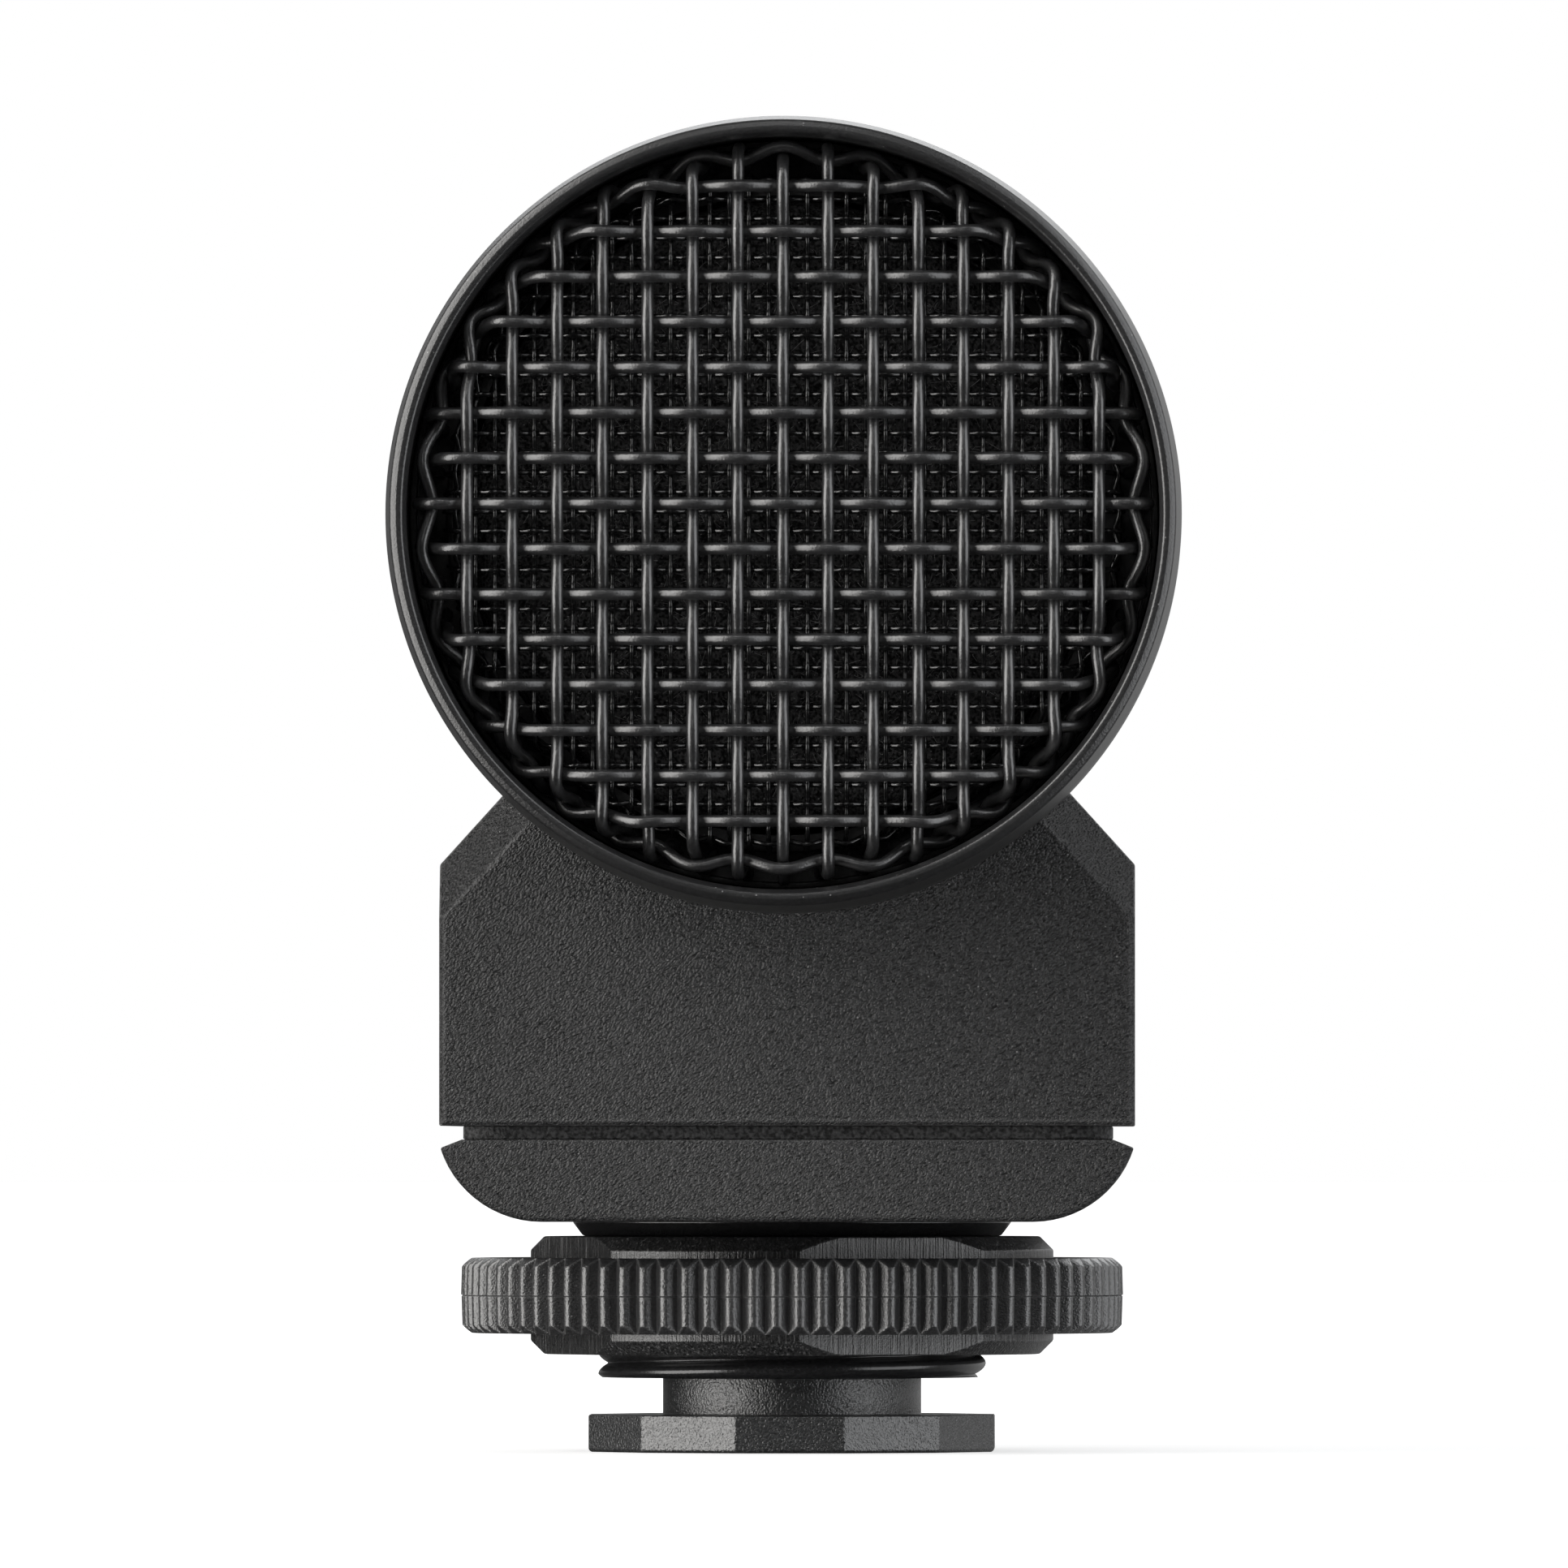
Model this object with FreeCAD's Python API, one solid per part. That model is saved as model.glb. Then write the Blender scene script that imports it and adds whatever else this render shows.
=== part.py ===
import FreeCAD, Part
import math
import os

Vector = FreeCAD.Vector

# A microphone for the top of a camera. Lengths are millimetres and angles are degrees.
# The origin is the centre of the foot's underside, +Z is up and the grille faces -Y.

# Fits that more than one piece uses
screw_fit = 0.03
press_fit = 0.03
cut_overrun = 1.0

# Flat sides that stand for the round of small, soft and hidden pieces
screw_sides = 8
socket_sides = 6
soft_sides = 24
ring_sides = 32

# Whole microphone
body_length = 69.0

# Shoe foot and neck
foot_width = 18.6
foot_facets = 12
foot_thickness = 1.7
foot_edge_bevel = 0.12
neck_radius = 5.93
neck_length = 1.7
foot_screw_head_radius = 3.0
foot_screw_head_depth = 1.1
foot_screw_head_recess = 0.15
foot_screw_shank_radius = 1.5
foot_screw_length = 6.5
foot_screw_slot_width = 0.7
foot_screw_slot_depth = 0.5

# Threaded stem with its flange
stem_radius = 8.9
stem_length = 6.58
flange_radius = 10.05
flange_height = 0.6

# Lock nut
nut_wall = 3.03
nut_rim = 1.22
nut_height = 5.41
nut_top_gap = 0.1
nut_bevel = 0.63
nut_running_gap = 0.07
nut_flats = 4
nut_flat_turn = 24.7
nut_flat_span = 45.0

# Slip washer in the underside of the lock nut
washer_thickness = 0.6
washer_stem_gap = 0.1
washer_seat_gap = 0.08

# Knurled grip round the lock nut
grip_wall = 3.2
grip_height = 3.45
grip_rise = 0.97
grip_bevel = 0.5
knurl_teeth = 90
knurl_depth = 0.45
knurl_land_share = 0.28
grip_fit = 0.03

# Base plate
base_half_width = 15.7
base_thickness = 3.73
base_bevel_height = 0.38
base_side_radius = 4.8
base_rear_setback = 0.5
base_end_bevel = 0.2

# Gasket between the base plate and the housing
gasket_half_width = 14.72
gasket_thickness = 0.62
gasket_end_inset = 1.03
gasket_corner_radius = 2.0

# Main housing: a round barrel on a block with sloping shoulders
barrel_radius = 17.0
barrel_wall = 1.6
axis_rise = 27.42
block_half_width = 15.75
block_wall = 1.6
block_setback = 4.5
shoulder_rise = 11.83
shoulder_lean = 42.2
shoulder_top_share = 0.6
shoulder_bevel = 1.76
block_edge_bevel = 0.22

# Sound slots in the barrel, and the screens behind them
slots_per_side = 4
slot_step_angle = 15.0
slot_width = 2.1
slot_length = 26.0
slot_corner = 0.6
slot_setback = 10.0
side_screen_thickness = 0.3
side_screen_margin = 2.6
side_screen_gap = 0.05

# Rear cover and its screws
cover_thickness = 2.0
cover_bevel = 0.5
cover_boss_radius = 2.2
cover_boss_length = 8.0
cover_boss_sink = 1.3
cover_screw_angle = 55.0
cover_screw_drop = 2.4
cover_screw_head_radius = 1.6
cover_screw_head_depth = 1.1
cover_screw_shank_radius = 0.85
cover_screw_length = 6.0
cover_screw_socket_radius = 0.7
cover_screw_socket_depth = 0.7

# Base screws, from under the base plate into the housing
base_screw_inset = 6.2
base_screw_end_inset = 5.0
base_screw_head_radius = 1.9
base_screw_head_depth = 1.2
base_screw_head_recess = 0.2
base_screw_shank_radius = 0.9
base_screw_length = 6.2
base_boss_radius = 2.2
base_boss_height = 1.9

# Stem screws, from above the base plate into the stem
stem_screw_count = 3
stem_screw_circle = 5.9
stem_screw_head_radius = 1.8
stem_screw_head_depth = 1.3
stem_screw_shank_radius = 0.95
stem_screw_length = 5.5

# Front bezel
bezel_depth = 11.0
bezel_overhang = 0.86
bezel_taper = 0.57
bezel_taper_length = 3.0
bezel_lip_width = 0.44
bezel_ledge_width = 0.5
bezel_spigot_length = 3.0

# Woven wire mesh of the grille
wire_diameter = 0.56
wire_crimp = 0.29
wire_shoulder_lift = 0.06
wire_sides = 4
wire_bar_share = 0.95
upright_pitch = 2.02
level_pitch = 2.03
level_shift = 0.42
mesh_setback = 0.8
crown_radius = 150.0
mesh_shoulder_radius = 2.7
mesh_skirt = 0.8
wire_end_margin = 0.5

# Rim that holds the edge of the mesh
rim_sheet = 0.28
rim_gap = 1.38
rim_fit = 0.05
rim_grip_height = 0.7
rim_floor_gap = 0.19

# Fine screen behind the mesh
screen_thickness = 0.25
screen_gap = 0.55
screen_shoulder = 2.2
screen_fit = 0.03

# Foam behind the fine screen
foam_gap = 0.15
foam_edge = 1.6
foam_seat_gap = 0.3

# Capsule, its cradle and the rubber isolators
capsule_radius = 7.0
capsule_length = 7.0
capsule_setback = 0.5
capsule_lip = 0.8
cradle_sides = 8
cradle_wall = 1.4
cradle_back = 1.2
cradle_lead_hole_radius = 2.0
isolator_thickness = 1.5
isolator_arm_width = 6.0
isolator_ring_width = 1.6
isolator_inset = 0.9
isolator_fit = 0.05

# Circuit board and what stands on it
rail_width = 1.85
board_rise = 2.2
board_thickness = 1.2
board_side_gap = 0.25
board_end_gap = 0.5
plug_width = 4.0
plug_height = 2.4
chip_size = 5.0
chip_height = 1.1
chip_setback = 8.0
capacitor_radius = 2.0
capacitor_height = 5.2
capacitor_spread = 7.0
capacitor_setback = 16.0

# Lead from the capsule down to the board
lead_diameter = 1.2
lead_reach = 9.0
lead_bend_share = 0.45
lead_bend_steps = 4

# Jack for the camera cable
jack_width = 7.4
jack_height = 6.4
jack_length = 13.5
jack_bore_radius = 1.8
jack_bore_depth = 14.0
jack_nose_radius = 2.9
jack_nose_inset = 0.2
jack_nut_width = 8.4
jack_nut_thickness = 1.0
jack_nut_gap = 0.25
jack_nut_slot_width = 0.8
jack_nut_slot_depth = 0.45
contact_width = 1.2
contact_thickness = 0.3
contact_count = 3
contact_spacing = 3.6

# Levels from the foot up
foot_top = foot_thickness
stem_bottom = foot_top + neck_length
flange_bottom = stem_bottom + stem_length
base_bottom = flange_bottom + flange_height
base_top = base_bottom + base_thickness
housing_bottom = base_top + gasket_thickness
floor_top = housing_bottom + block_wall
axis_height = housing_bottom + axis_rise
shoulder_bottom = housing_bottom + shoulder_rise
shoulder_top = shoulder_bottom + shoulder_top_share * (axis_height - shoulder_bottom)
nut_top = flange_bottom - nut_top_gap
nut_bottom = nut_top - nut_height
grip_bottom = nut_bottom + grip_rise
grip_top = grip_bottom + grip_height
board_bottom = floor_top + board_rise
board_top = board_bottom + board_thickness
jack_axis_height = board_top + jack_height / 2

# Places from the front to the rear
front_end = -body_length / 2
rear_end = body_length / 2
bezel_back = front_end + bezel_depth
spigot_end = bezel_back + bezel_spigot_length
block_front = bezel_back + block_setback
housing_rear = rear_end - cover_thickness
base_rear = rear_end - base_rear_setback
slot_front = block_front + slot_setback
slot_rear = slot_front + slot_length
capsule_front = spigot_end + capsule_setback
capsule_rear = capsule_front + capsule_length
board_front = block_front + block_wall + board_end_gap
board_rear = housing_rear - board_end_gap
lead_drop = capsule_rear + lead_reach

# Radii that follow from the barrel
barrel_bore = barrel_radius - barrel_wall
bezel_back_radius = barrel_radius + bezel_overhang
bezel_front_radius = bezel_back_radius - bezel_taper
bezel_bore = bezel_front_radius - bezel_lip_width
rim_radius = bezel_bore - rim_fit
mesh_wall_radius = rim_radius - rim_sheet - rim_gap / 2
rim_inner_radius = rim_radius - 2 * rim_sheet - rim_gap
bezel_inner_bore = rim_inner_radius - bezel_ledge_width
spigot_radius = barrel_bore - press_fit
nut_bore = stem_radius + nut_running_gap
nut_radius = nut_bore + nut_wall
washer_seat_radius = nut_radius - nut_rim
grip_radius = nut_radius + grip_wall
jack_nut_radius = jack_nut_width / 2
nut_flat_distance = nut_radius * math.cos(math.radians(nut_flat_span / 2))

# The meridian of the mesh dome: a shallow crown, a round shoulder and a straight skirt
mesh_apex = front_end + mesh_setback + wire_crimp + wire_diameter / 2
shoulder_centre_radius = mesh_wall_radius - mesh_shoulder_radius
crown_angle = math.asin(shoulder_centre_radius / (crown_radius - mesh_shoulder_radius))
crown_reach = crown_radius * crown_angle
shoulder_reach = crown_reach + mesh_shoulder_radius * (math.pi / 2 - crown_angle)
mesh_reach = shoulder_reach + mesh_skirt
crown_drop = crown_radius - (crown_radius - mesh_shoulder_radius) * math.cos(crown_angle)
skirt_start = mesh_apex + crown_drop
skirt_end = skirt_start + mesh_skirt
rim_back = skirt_end + rim_floor_gap + rim_sheet
screen_face = mesh_apex + wire_crimp + wire_diameter / 2 + crown_drop - mesh_shoulder_radius + screen_gap


def at_axis(radius, place):
    """A point beside the barrel's axis, at a radius and a place along it."""
    return Vector(radius, place, axis_height)


def box(left, right, front, back, low, high):
    """A block between six places."""
    return Part.makeBox(right - left, back - front, high - low, Vector(left, front, low))


def post(radius, low, high, across=0, along=0):
    """An upright cylinder between two levels."""
    return Part.makeCylinder(radius, high - low, Vector(across, along, low))


def rod(radius, front, back, across=0, height=axis_height):
    """A level cylinder along Y between two places."""
    return Part.makeCylinder(radius, back - front, Vector(across, front, height), Vector(0, 1, 0))


def path(points):
    """A closed wire. A point is a corner, and a pair of points is an arc: its middle and its end."""
    edges = []
    start = points[0]
    for step in points[1:] + [points[0]]:
        if isinstance(step, tuple):
            edges.append(Part.Arc(start, step[0], step[1]).toShape())
            start = step[1]
        elif (step - start).Length > 0:
            edges.append(Part.LineSegment(start, step).toShape())
            start = step
    return Part.Wire(edges)


def turned_on_stem(points):
    """A ring or disc turned about the stem's axis. Points hold a radius and a level."""
    wire = path([Vector(radius, 0, level) for radius, level in points])
    return Part.Face(wire).revolve(Vector(0, 0, 0), Vector(0, 0, 1), 360)


def level_prism(corners, front, back):
    """A solid along Y. The corners hold X and Z, and are mirrored to the left side."""
    right = [Vector(across, front, level) for across, level in corners]
    left = [Vector(-across, front, level) for across, level in reversed(corners)]
    return Part.Face(path(right + left)).extrude(Vector(0, back - front, 0))


def fuse_all(shapes):
    """One solid from touching solids, with no seams left in flat faces."""
    return shapes[0].multiFuse(shapes[1:]).removeSplitter()


def flat_face(corners):
    """A flat face through its corners."""
    return Part.Face(Part.makePolygon(corners + corners[:1]))


def closed_solid(faces):
    """The solid that a closed set of faces bounds, turned the right way out."""
    solid = Part.Solid(Part.makeShell(faces))
    if solid.Volume < 0:
        solid.reverse()
    return solid


def joined_rings(rings):
    """A solid with flat sides, through closed rings of as many corners each."""
    faces = [flat_face(rings[0]), flat_face(rings[-1])]
    for near, far in zip(rings, rings[1:]):
        for side in range(len(near)):
            faces.append(flat_face([near[side - 1], near[side], far[side], far[side - 1]]))
    return closed_solid(faces)


def inside_round(radius, sides):
    """The inner radius of a many-sided outline whose corners lie on a circle."""
    return radius * math.cos(math.pi / sides)


def upright_prism(sides, sections, across=0, along=0):
    """A many-sided upright solid. A section holds its inner radius and its level."""
    rings = []
    for radius, level in sections:
        reach = radius / math.cos(math.pi / sides)
        turns = [2 * math.pi * (number + 1 / 2) / sides for number in range(sides)]
        rings.append([Vector(across + reach * math.cos(turn), along + reach * math.sin(turn), level)
                      for turn in turns])
    return joined_rings(rings)


def level_round(sides, sections, across=0, height=axis_height):
    """A many-sided solid along Y. A section holds its inner radius and its place."""
    rings = []
    for radius, place in sections:
        reach = radius / math.cos(math.pi / sides)
        turns = [2 * math.pi * (number + 1 / 2) / sides for number in range(sides)]
        rings.append([Vector(across + reach * math.cos(turn), place, height + reach * math.sin(turn))
                      for turn in turns])
    return joined_rings(rings)


def save(name, shape):
    """Write one named piece."""
    shape.exportStep("parts/" + name + ".step")


# Screws: their heads and shanks, and the places that the screws share with their holes

def screw_part(radius, low, high, across=0, along=0):
    """The upright head or shank of a screw, or the hole that takes it."""
    return upright_prism(screw_sides, [(radius, low), (radius, high)], across, along)


def level_screw_part(radius, front, back, across, height):
    """The level head or shank of a screw, or the hole that takes it."""
    return level_round(screw_sides, [(radius, front), (radius, back)], across, height)


def cover_screw_places():
    """Across and level of each rear screw: two beside the block's top, two high on the barrel."""
    low_across = block_half_width - block_wall - cover_boss_sink
    low_level = shoulder_bottom - cover_screw_drop
    circle = barrel_bore - cover_boss_sink
    turn = math.radians(cover_screw_angle)
    high_across = circle * math.cos(turn)
    high_level = axis_height + circle * math.sin(turn)
    return [(side * across, level) for side in (-1, 1)
            for across, level in ((low_across, low_level), (high_across, high_level))]


def base_screw_places():
    """Across and along of the four base screws."""
    across = base_half_width - base_screw_inset
    front = block_front + base_screw_end_inset
    back = housing_rear - base_screw_end_inset
    return [(side * across, along) for side in (-1, 1) for along in (front, back)]


def stem_screw_places():
    """Across and along of the stem screws, evenly round the stem's axis."""
    places = []
    for number in range(stem_screw_count):
        turn = math.radians(360 * number / stem_screw_count + 90)
        places.append((stem_screw_circle * math.cos(turn), stem_screw_circle * math.sin(turn)))
    return places


# Shoe foot: a twelve-sided disc with the round neck that passes the camera's shoe

def shoe_foot():
    half = foot_width / 2
    sections = [(half - foot_edge_bevel, 0), (half, foot_edge_bevel), (half, foot_top)]
    foot = upright_prism(foot_facets, sections)
    neck = post(neck_radius, foot_top, stem_bottom)
    whole = fuse_all([foot, neck])
    head_top = foot_screw_head_recess + foot_screw_head_depth
    head_hole = screw_part(foot_screw_head_radius + screw_fit, -cut_overrun, head_top)
    shank_hole = screw_part(foot_screw_shank_radius + screw_fit, 0, stem_bottom + cut_overrun)
    return whole.cut(head_hole).cut(shank_hole)


def foot_screw():
    head_bottom = foot_screw_head_recess
    head_top = head_bottom + foot_screw_head_depth
    head = screw_part(foot_screw_head_radius, head_bottom, head_top)
    shank = screw_part(foot_screw_shank_radius, head_top, head_top + foot_screw_length)
    slot_half = foot_screw_slot_width / 2
    reach = foot_screw_head_radius + cut_overrun
    slot_top = head_bottom + foot_screw_slot_depth
    slot = box(-reach, reach, -slot_half, slot_half, head_bottom - cut_overrun, slot_top)
    return fuse_all([head, shank]).cut(slot)


# Threaded stem: the round post that the lock nut runs on, with a flange under the base plate

def threaded_stem():
    stem = post(stem_radius, stem_bottom, flange_bottom)
    flange = post(flange_radius, flange_bottom, base_bottom)
    body = fuse_all([stem, flange])
    screw_end = foot_screw_head_recess + foot_screw_head_depth + foot_screw_length
    body = body.cut(screw_part(foot_screw_shank_radius + screw_fit,
                               stem_bottom - cut_overrun, screw_end))
    pilot_bottom = base_top - stem_screw_head_depth - stem_screw_length
    for across, along in stem_screw_places():
        pilot = screw_part(stem_screw_shank_radius + screw_fit, pilot_bottom,
                           base_bottom + cut_overrun, across, along)
        body = body.cut(pilot)
    return body


# Lock nut: turns on the stem and presses the camera's shoe from above

def nut_flat_cutters(distance, low, high):
    """The blocks outside the nut's flats."""
    cutters = []
    for number in range(nut_flats):
        block = box(-nut_radius, nut_radius, -2 * nut_radius, -distance, low, high)
        block.rotate(Vector(0, 0, 0), Vector(0, 0, 1), nut_flat_turn + 360 * number / nut_flats)
        cutters.append(block)
    return cutters


def lock_nut():
    seat_top = nut_bottom + washer_thickness + washer_seat_gap
    body = turned_on_stem([
        (0, nut_bottom),
        (nut_radius - nut_bevel, nut_bottom),
        (nut_radius, nut_bottom + nut_bevel),
        (nut_radius, nut_top - nut_bevel),
        (nut_radius - nut_bevel, nut_top),
        (0, nut_top),
    ])
    below = nut_bottom - cut_overrun
    body = body.cut(upright_prism(ring_sides, [(nut_bore, below), (nut_bore, nut_top + cut_overrun)]))
    body = body.cut(upright_prism(ring_sides, [(washer_seat_radius, below), (washer_seat_radius, seat_top)]))
    for cutter in nut_flat_cutters(nut_flat_distance, nut_bottom - cut_overrun, nut_top + cut_overrun):
        body = body.cut(cutter)
    return body


def slip_washer():
    inner = stem_radius + washer_stem_gap
    outside = inside_round(washer_seat_radius - washer_seat_gap, ring_sides)
    top = nut_bottom + washer_thickness
    disc = upright_prism(ring_sides, [(outside, nut_bottom), (outside, top)])
    hole = upright_prism(ring_sides, [(inner, nut_bottom - cut_overrun), (inner, top + cut_overrun)])
    return disc.cut(hole)


# Knurled grip: a ring keyed on the nut's flats, with upright V grooves that end on its bevels

def knurled_grip():
    tooth_angle = 2 * math.pi / knurl_teeth
    land_angle = tooth_angle * knurl_land_share
    root_radius = grip_radius - knurl_depth

    def corner(radius, turn, level):
        return Vector(radius * math.cos(turn), radius * math.sin(turn), level)

    faces = []
    top_ring = []
    bottom_ring = []
    for number in range(knurl_teeth):
        middle = tooth_angle * number
        root_left = middle - tooth_angle / 2
        root_right = middle + tooth_angle / 2
        land_left = middle - land_angle / 2
        land_right = middle + land_angle / 2
        low = grip_bottom + grip_bevel
        high = grip_top - grip_bevel
        outlines = [
            [(grip_radius, land_left, low), (grip_radius, land_right, low),
             (grip_radius, land_right, high), (grip_radius, land_left, high)],
            [(root_radius, root_left, grip_bottom), (grip_radius, land_left, low),
             (grip_radius, land_left, high), (root_radius, root_left, grip_top)],
            [(grip_radius, land_right, low), (root_radius, root_right, grip_bottom),
             (root_radius, root_right, grip_top), (grip_radius, land_right, high)],
            [(grip_radius, land_left, high), (grip_radius, land_right, high),
             (root_radius, root_right, grip_top), (root_radius, root_left, grip_top)],
            [(root_radius, root_left, grip_bottom), (root_radius, root_right, grip_bottom),
             (grip_radius, land_right, low), (grip_radius, land_left, low)],
        ]
        for outline in outlines:
            faces.append(flat_face([corner(*place) for place in outline]))
        top_ring.append(corner(root_radius, root_left, grip_top))
        bottom_ring.append(corner(root_radius, root_left, grip_bottom))
    body = closed_solid(faces + [flat_face(top_ring), flat_face(bottom_ring)])

    hole = post(nut_radius + grip_fit, grip_bottom - cut_overrun, grip_top + cut_overrun)
    for cutter in nut_flat_cutters(nut_flat_distance + grip_fit, grip_bottom - 2 * cut_overrun,
                                   grip_top + 2 * cut_overrun):
        hole = hole.cut(cutter)
    return body.cut(hole)


# Base plate: a boat-shaped plate that carries the stem

def base_side_centre():
    """Across and level of the centre of the plate's rounded side."""
    corner_drop = base_thickness - base_bevel_height
    level = base_bottom + base_side_radius
    rise = level - (base_bottom + corner_drop)
    across = base_half_width - math.sqrt(base_side_radius ** 2 - rise ** 2)
    return across, level


def base_plate():
    centre_across, centre_level = base_side_centre()
    corner_level = base_top - base_bevel_height
    corner_turn = math.atan2(corner_level - centre_level, base_half_width - centre_across)
    middle_turn = (corner_turn - math.pi / 2) / 2

    def side_point(side, turn):
        across = centre_across + base_side_radius * math.cos(turn)
        return Vector(side * across, block_front, centre_level + base_side_radius * math.sin(turn))

    outline = path([
        Vector(-gasket_half_width, block_front, base_top),
        Vector(gasket_half_width, block_front, base_top),
        Vector(base_half_width, block_front, corner_level),
        (side_point(1, middle_turn), side_point(1, -math.pi / 2)),
        side_point(-1, -math.pi / 2),
        (side_point(-1, middle_turn), side_point(-1, corner_turn)),
    ])
    body = Part.Face(outline).extrude(Vector(0, base_rear - block_front, 0))
    ends = [edge for edge in body.Edges
            if all(abs(vertex.Y - block_front) < press_fit for vertex in edge.Vertexes)
            or all(abs(vertex.Y - base_rear) < press_fit for vertex in edge.Vertexes)]
    lower_ends = [edge for edge in ends if edge.CenterOfMass.z < corner_level]
    body = body.makeChamfer(base_end_bevel, lower_ends)
    head_top = base_bottom + base_screw_head_recess + base_screw_head_depth
    for across, along in base_screw_places():
        body = body.cut(screw_part(base_screw_head_radius + screw_fit,
                                   base_bottom - cut_overrun, head_top, across, along))
        body = body.cut(screw_part(base_screw_shank_radius + screw_fit,
                                   base_bottom, base_top + cut_overrun, across, along))
    seat = base_top - stem_screw_head_depth
    for across, along in stem_screw_places():
        body = body.cut(screw_part(stem_screw_head_radius + screw_fit,
                                   seat, base_top + cut_overrun, across, along))
        body = body.cut(screw_part(stem_screw_shank_radius + screw_fit,
                                   base_bottom - cut_overrun, seat, across, along))
    return body


def base_screws():
    screws = []
    head_bottom = base_bottom + base_screw_head_recess
    head_top = head_bottom + base_screw_head_depth
    for across, along in base_screw_places():
        head = screw_part(base_screw_head_radius, head_bottom, head_top, across, along)
        shank = screw_part(base_screw_shank_radius, head_top, head_top + base_screw_length,
                           across, along)
        screws.append(fuse_all([head, shank]))
    return Part.makeCompound(screws)


def stem_screws():
    screws = []
    seat = base_top - stem_screw_head_depth
    for across, along in stem_screw_places():
        head = screw_part(stem_screw_head_radius, seat, base_top, across, along)
        shank = screw_part(stem_screw_shank_radius, seat - stem_screw_length, seat,
                           across, along)
        screws.append(fuse_all([head, shank]))
    return Part.makeCompound(screws)


# Gasket: a soft strip, narrower than the plate and the housing, so a dark groove shows between them

def base_gasket():
    front = block_front + gasket_end_inset
    back = base_rear - gasket_end_inset
    body = box(-gasket_half_width, gasket_half_width, front, back, base_top, housing_bottom)
    uprights = [edge for edge in body.Edges
                if abs(edge.Vertexes[0].Z - edge.Vertexes[-1].Z) > gasket_thickness / 2]
    body = body.makeFillet(gasket_corner_radius, uprights)
    for across, along in base_screw_places():
        hole = screw_part(base_screw_shank_radius + screw_fit, base_top - cut_overrun,
                          housing_bottom + cut_overrun, across, along)
        body = body.cut(hole)
    return body


# Main housing: barrel and block in one moulding, open at the front of the barrel and at the rear

def block_corners(inset, bottom):
    """Right half of the block's outline, moved inwards by a wall."""
    lean = math.radians(shoulder_lean)
    side = block_half_width - inset
    corner = shoulder_bottom - inset * math.tan(lean / 2)
    top_across = side - (shoulder_top - corner) * math.tan(lean)
    return [(side, bottom), (side, corner), (top_across, shoulder_top)]


def housing_outline(front, back):
    """The barrel and the block as one solid with no hollow."""
    barrel = rod(barrel_radius, front, back)
    block = level_prism(block_corners(0, housing_bottom), front, back)
    return fuse_all([barrel, block])


def bevelled_block():
    """The block, with the wide bevel at the front of its shoulders and a small one below."""
    block = level_prism(block_corners(0, housing_bottom), block_front, housing_rear)
    front_edges = [edge for edge in block.Edges
                   if all(abs(vertex.Y - block_front) < press_fit for vertex in edge.Vertexes)]
    shoulders = []
    for edge in front_edges:
        first, last = edge.Vertexes
        if abs(first.X - last.X) > press_fit and abs(first.Z - last.Z) > press_fit:
            shoulders.append(edge)
    block = block.makeChamfer(shoulder_bevel, shoulders)
    lower_edges = [edge for edge in block.Edges
                   if all(abs(vertex.Y - block_front) < press_fit for vertex in edge.Vertexes)
                   and edge.CenterOfMass.z < shoulder_bottom - shoulder_bevel / 2]
    return block.makeChamfer(block_edge_bevel, lower_edges)


def sound_slot():
    """A cutter along +X through the barrel's right wall, with its corners cut off."""
    inner = barrel_bore - cut_overrun
    half = slot_width / 2
    outline = [(slot_front, half - slot_corner), (slot_front + slot_corner, half),
               (slot_rear - slot_corner, half), (slot_rear, half - slot_corner),
               (slot_rear, slot_corner - half), (slot_rear - slot_corner, -half),
               (slot_front + slot_corner, -half), (slot_front, slot_corner - half)]
    corners = [Vector(inner, along, axis_height + rise) for along, rise in outline]
    return flat_face(corners).extrude(Vector(barrel_wall + 2 * cut_overrun, 0, 0))


def slot_angles():
    """The slots' angles above and below the level line."""
    middle = (slots_per_side - 1) / 2
    return [slot_step_angle * (number - middle) for number in range(slots_per_side)]


def main_housing():
    body = fuse_all([rod(barrel_radius, bezel_back, housing_rear), bevelled_block()])
    body = body.cut(level_round(ring_sides, [(barrel_bore, bezel_back - cut_overrun),
                                             (barrel_bore, housing_rear + cut_overrun)]))
    cavity_front = block_front + block_wall
    cavity = level_prism(block_corners(block_wall, floor_top), cavity_front, housing_rear + cut_overrun)
    body = body.cut(cavity)

    additions = []
    inside = block_half_width - block_wall
    for side in (-1, 1):
        near, far = sorted((side * (inside - rail_width), side * (inside + block_wall / 2)))
        additions.append(box(near, far, cavity_front, housing_rear, floor_top, board_bottom))
    boss_front = housing_rear - cover_boss_length
    shell = housing_outline(boss_front, housing_rear)
    for across, level in cover_screw_places():
        boss = level_screw_part(cover_boss_radius, boss_front, housing_rear, across, level)
        additions.append(boss.common(shell))
    for across, along in base_screw_places():
        additions.append(screw_part(base_boss_radius, housing_bottom + block_wall / 2,
                                    floor_top + base_boss_height, across, along))
    body = fuse_all([body] + additions)

    for across, level in cover_screw_places():
        start = rear_end - cover_screw_head_depth - cover_screw_length
        body = body.cut(level_screw_part(cover_screw_shank_radius + screw_fit, start, rear_end,
                                         across, level))
    for across, along in base_screw_places():
        end = base_bottom + base_screw_head_recess + base_screw_head_depth + base_screw_length
        body = body.cut(screw_part(base_screw_shank_radius + screw_fit,
                                   housing_bottom - cut_overrun, end, across, along))
    for half_turn in (0, 180):
        for angle in slot_angles():
            slot = sound_slot()
            slot.rotate(at_axis(0, 0), Vector(0, 1, 0), half_turn + angle)
            body = body.cut(slot)
    return body


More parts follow.
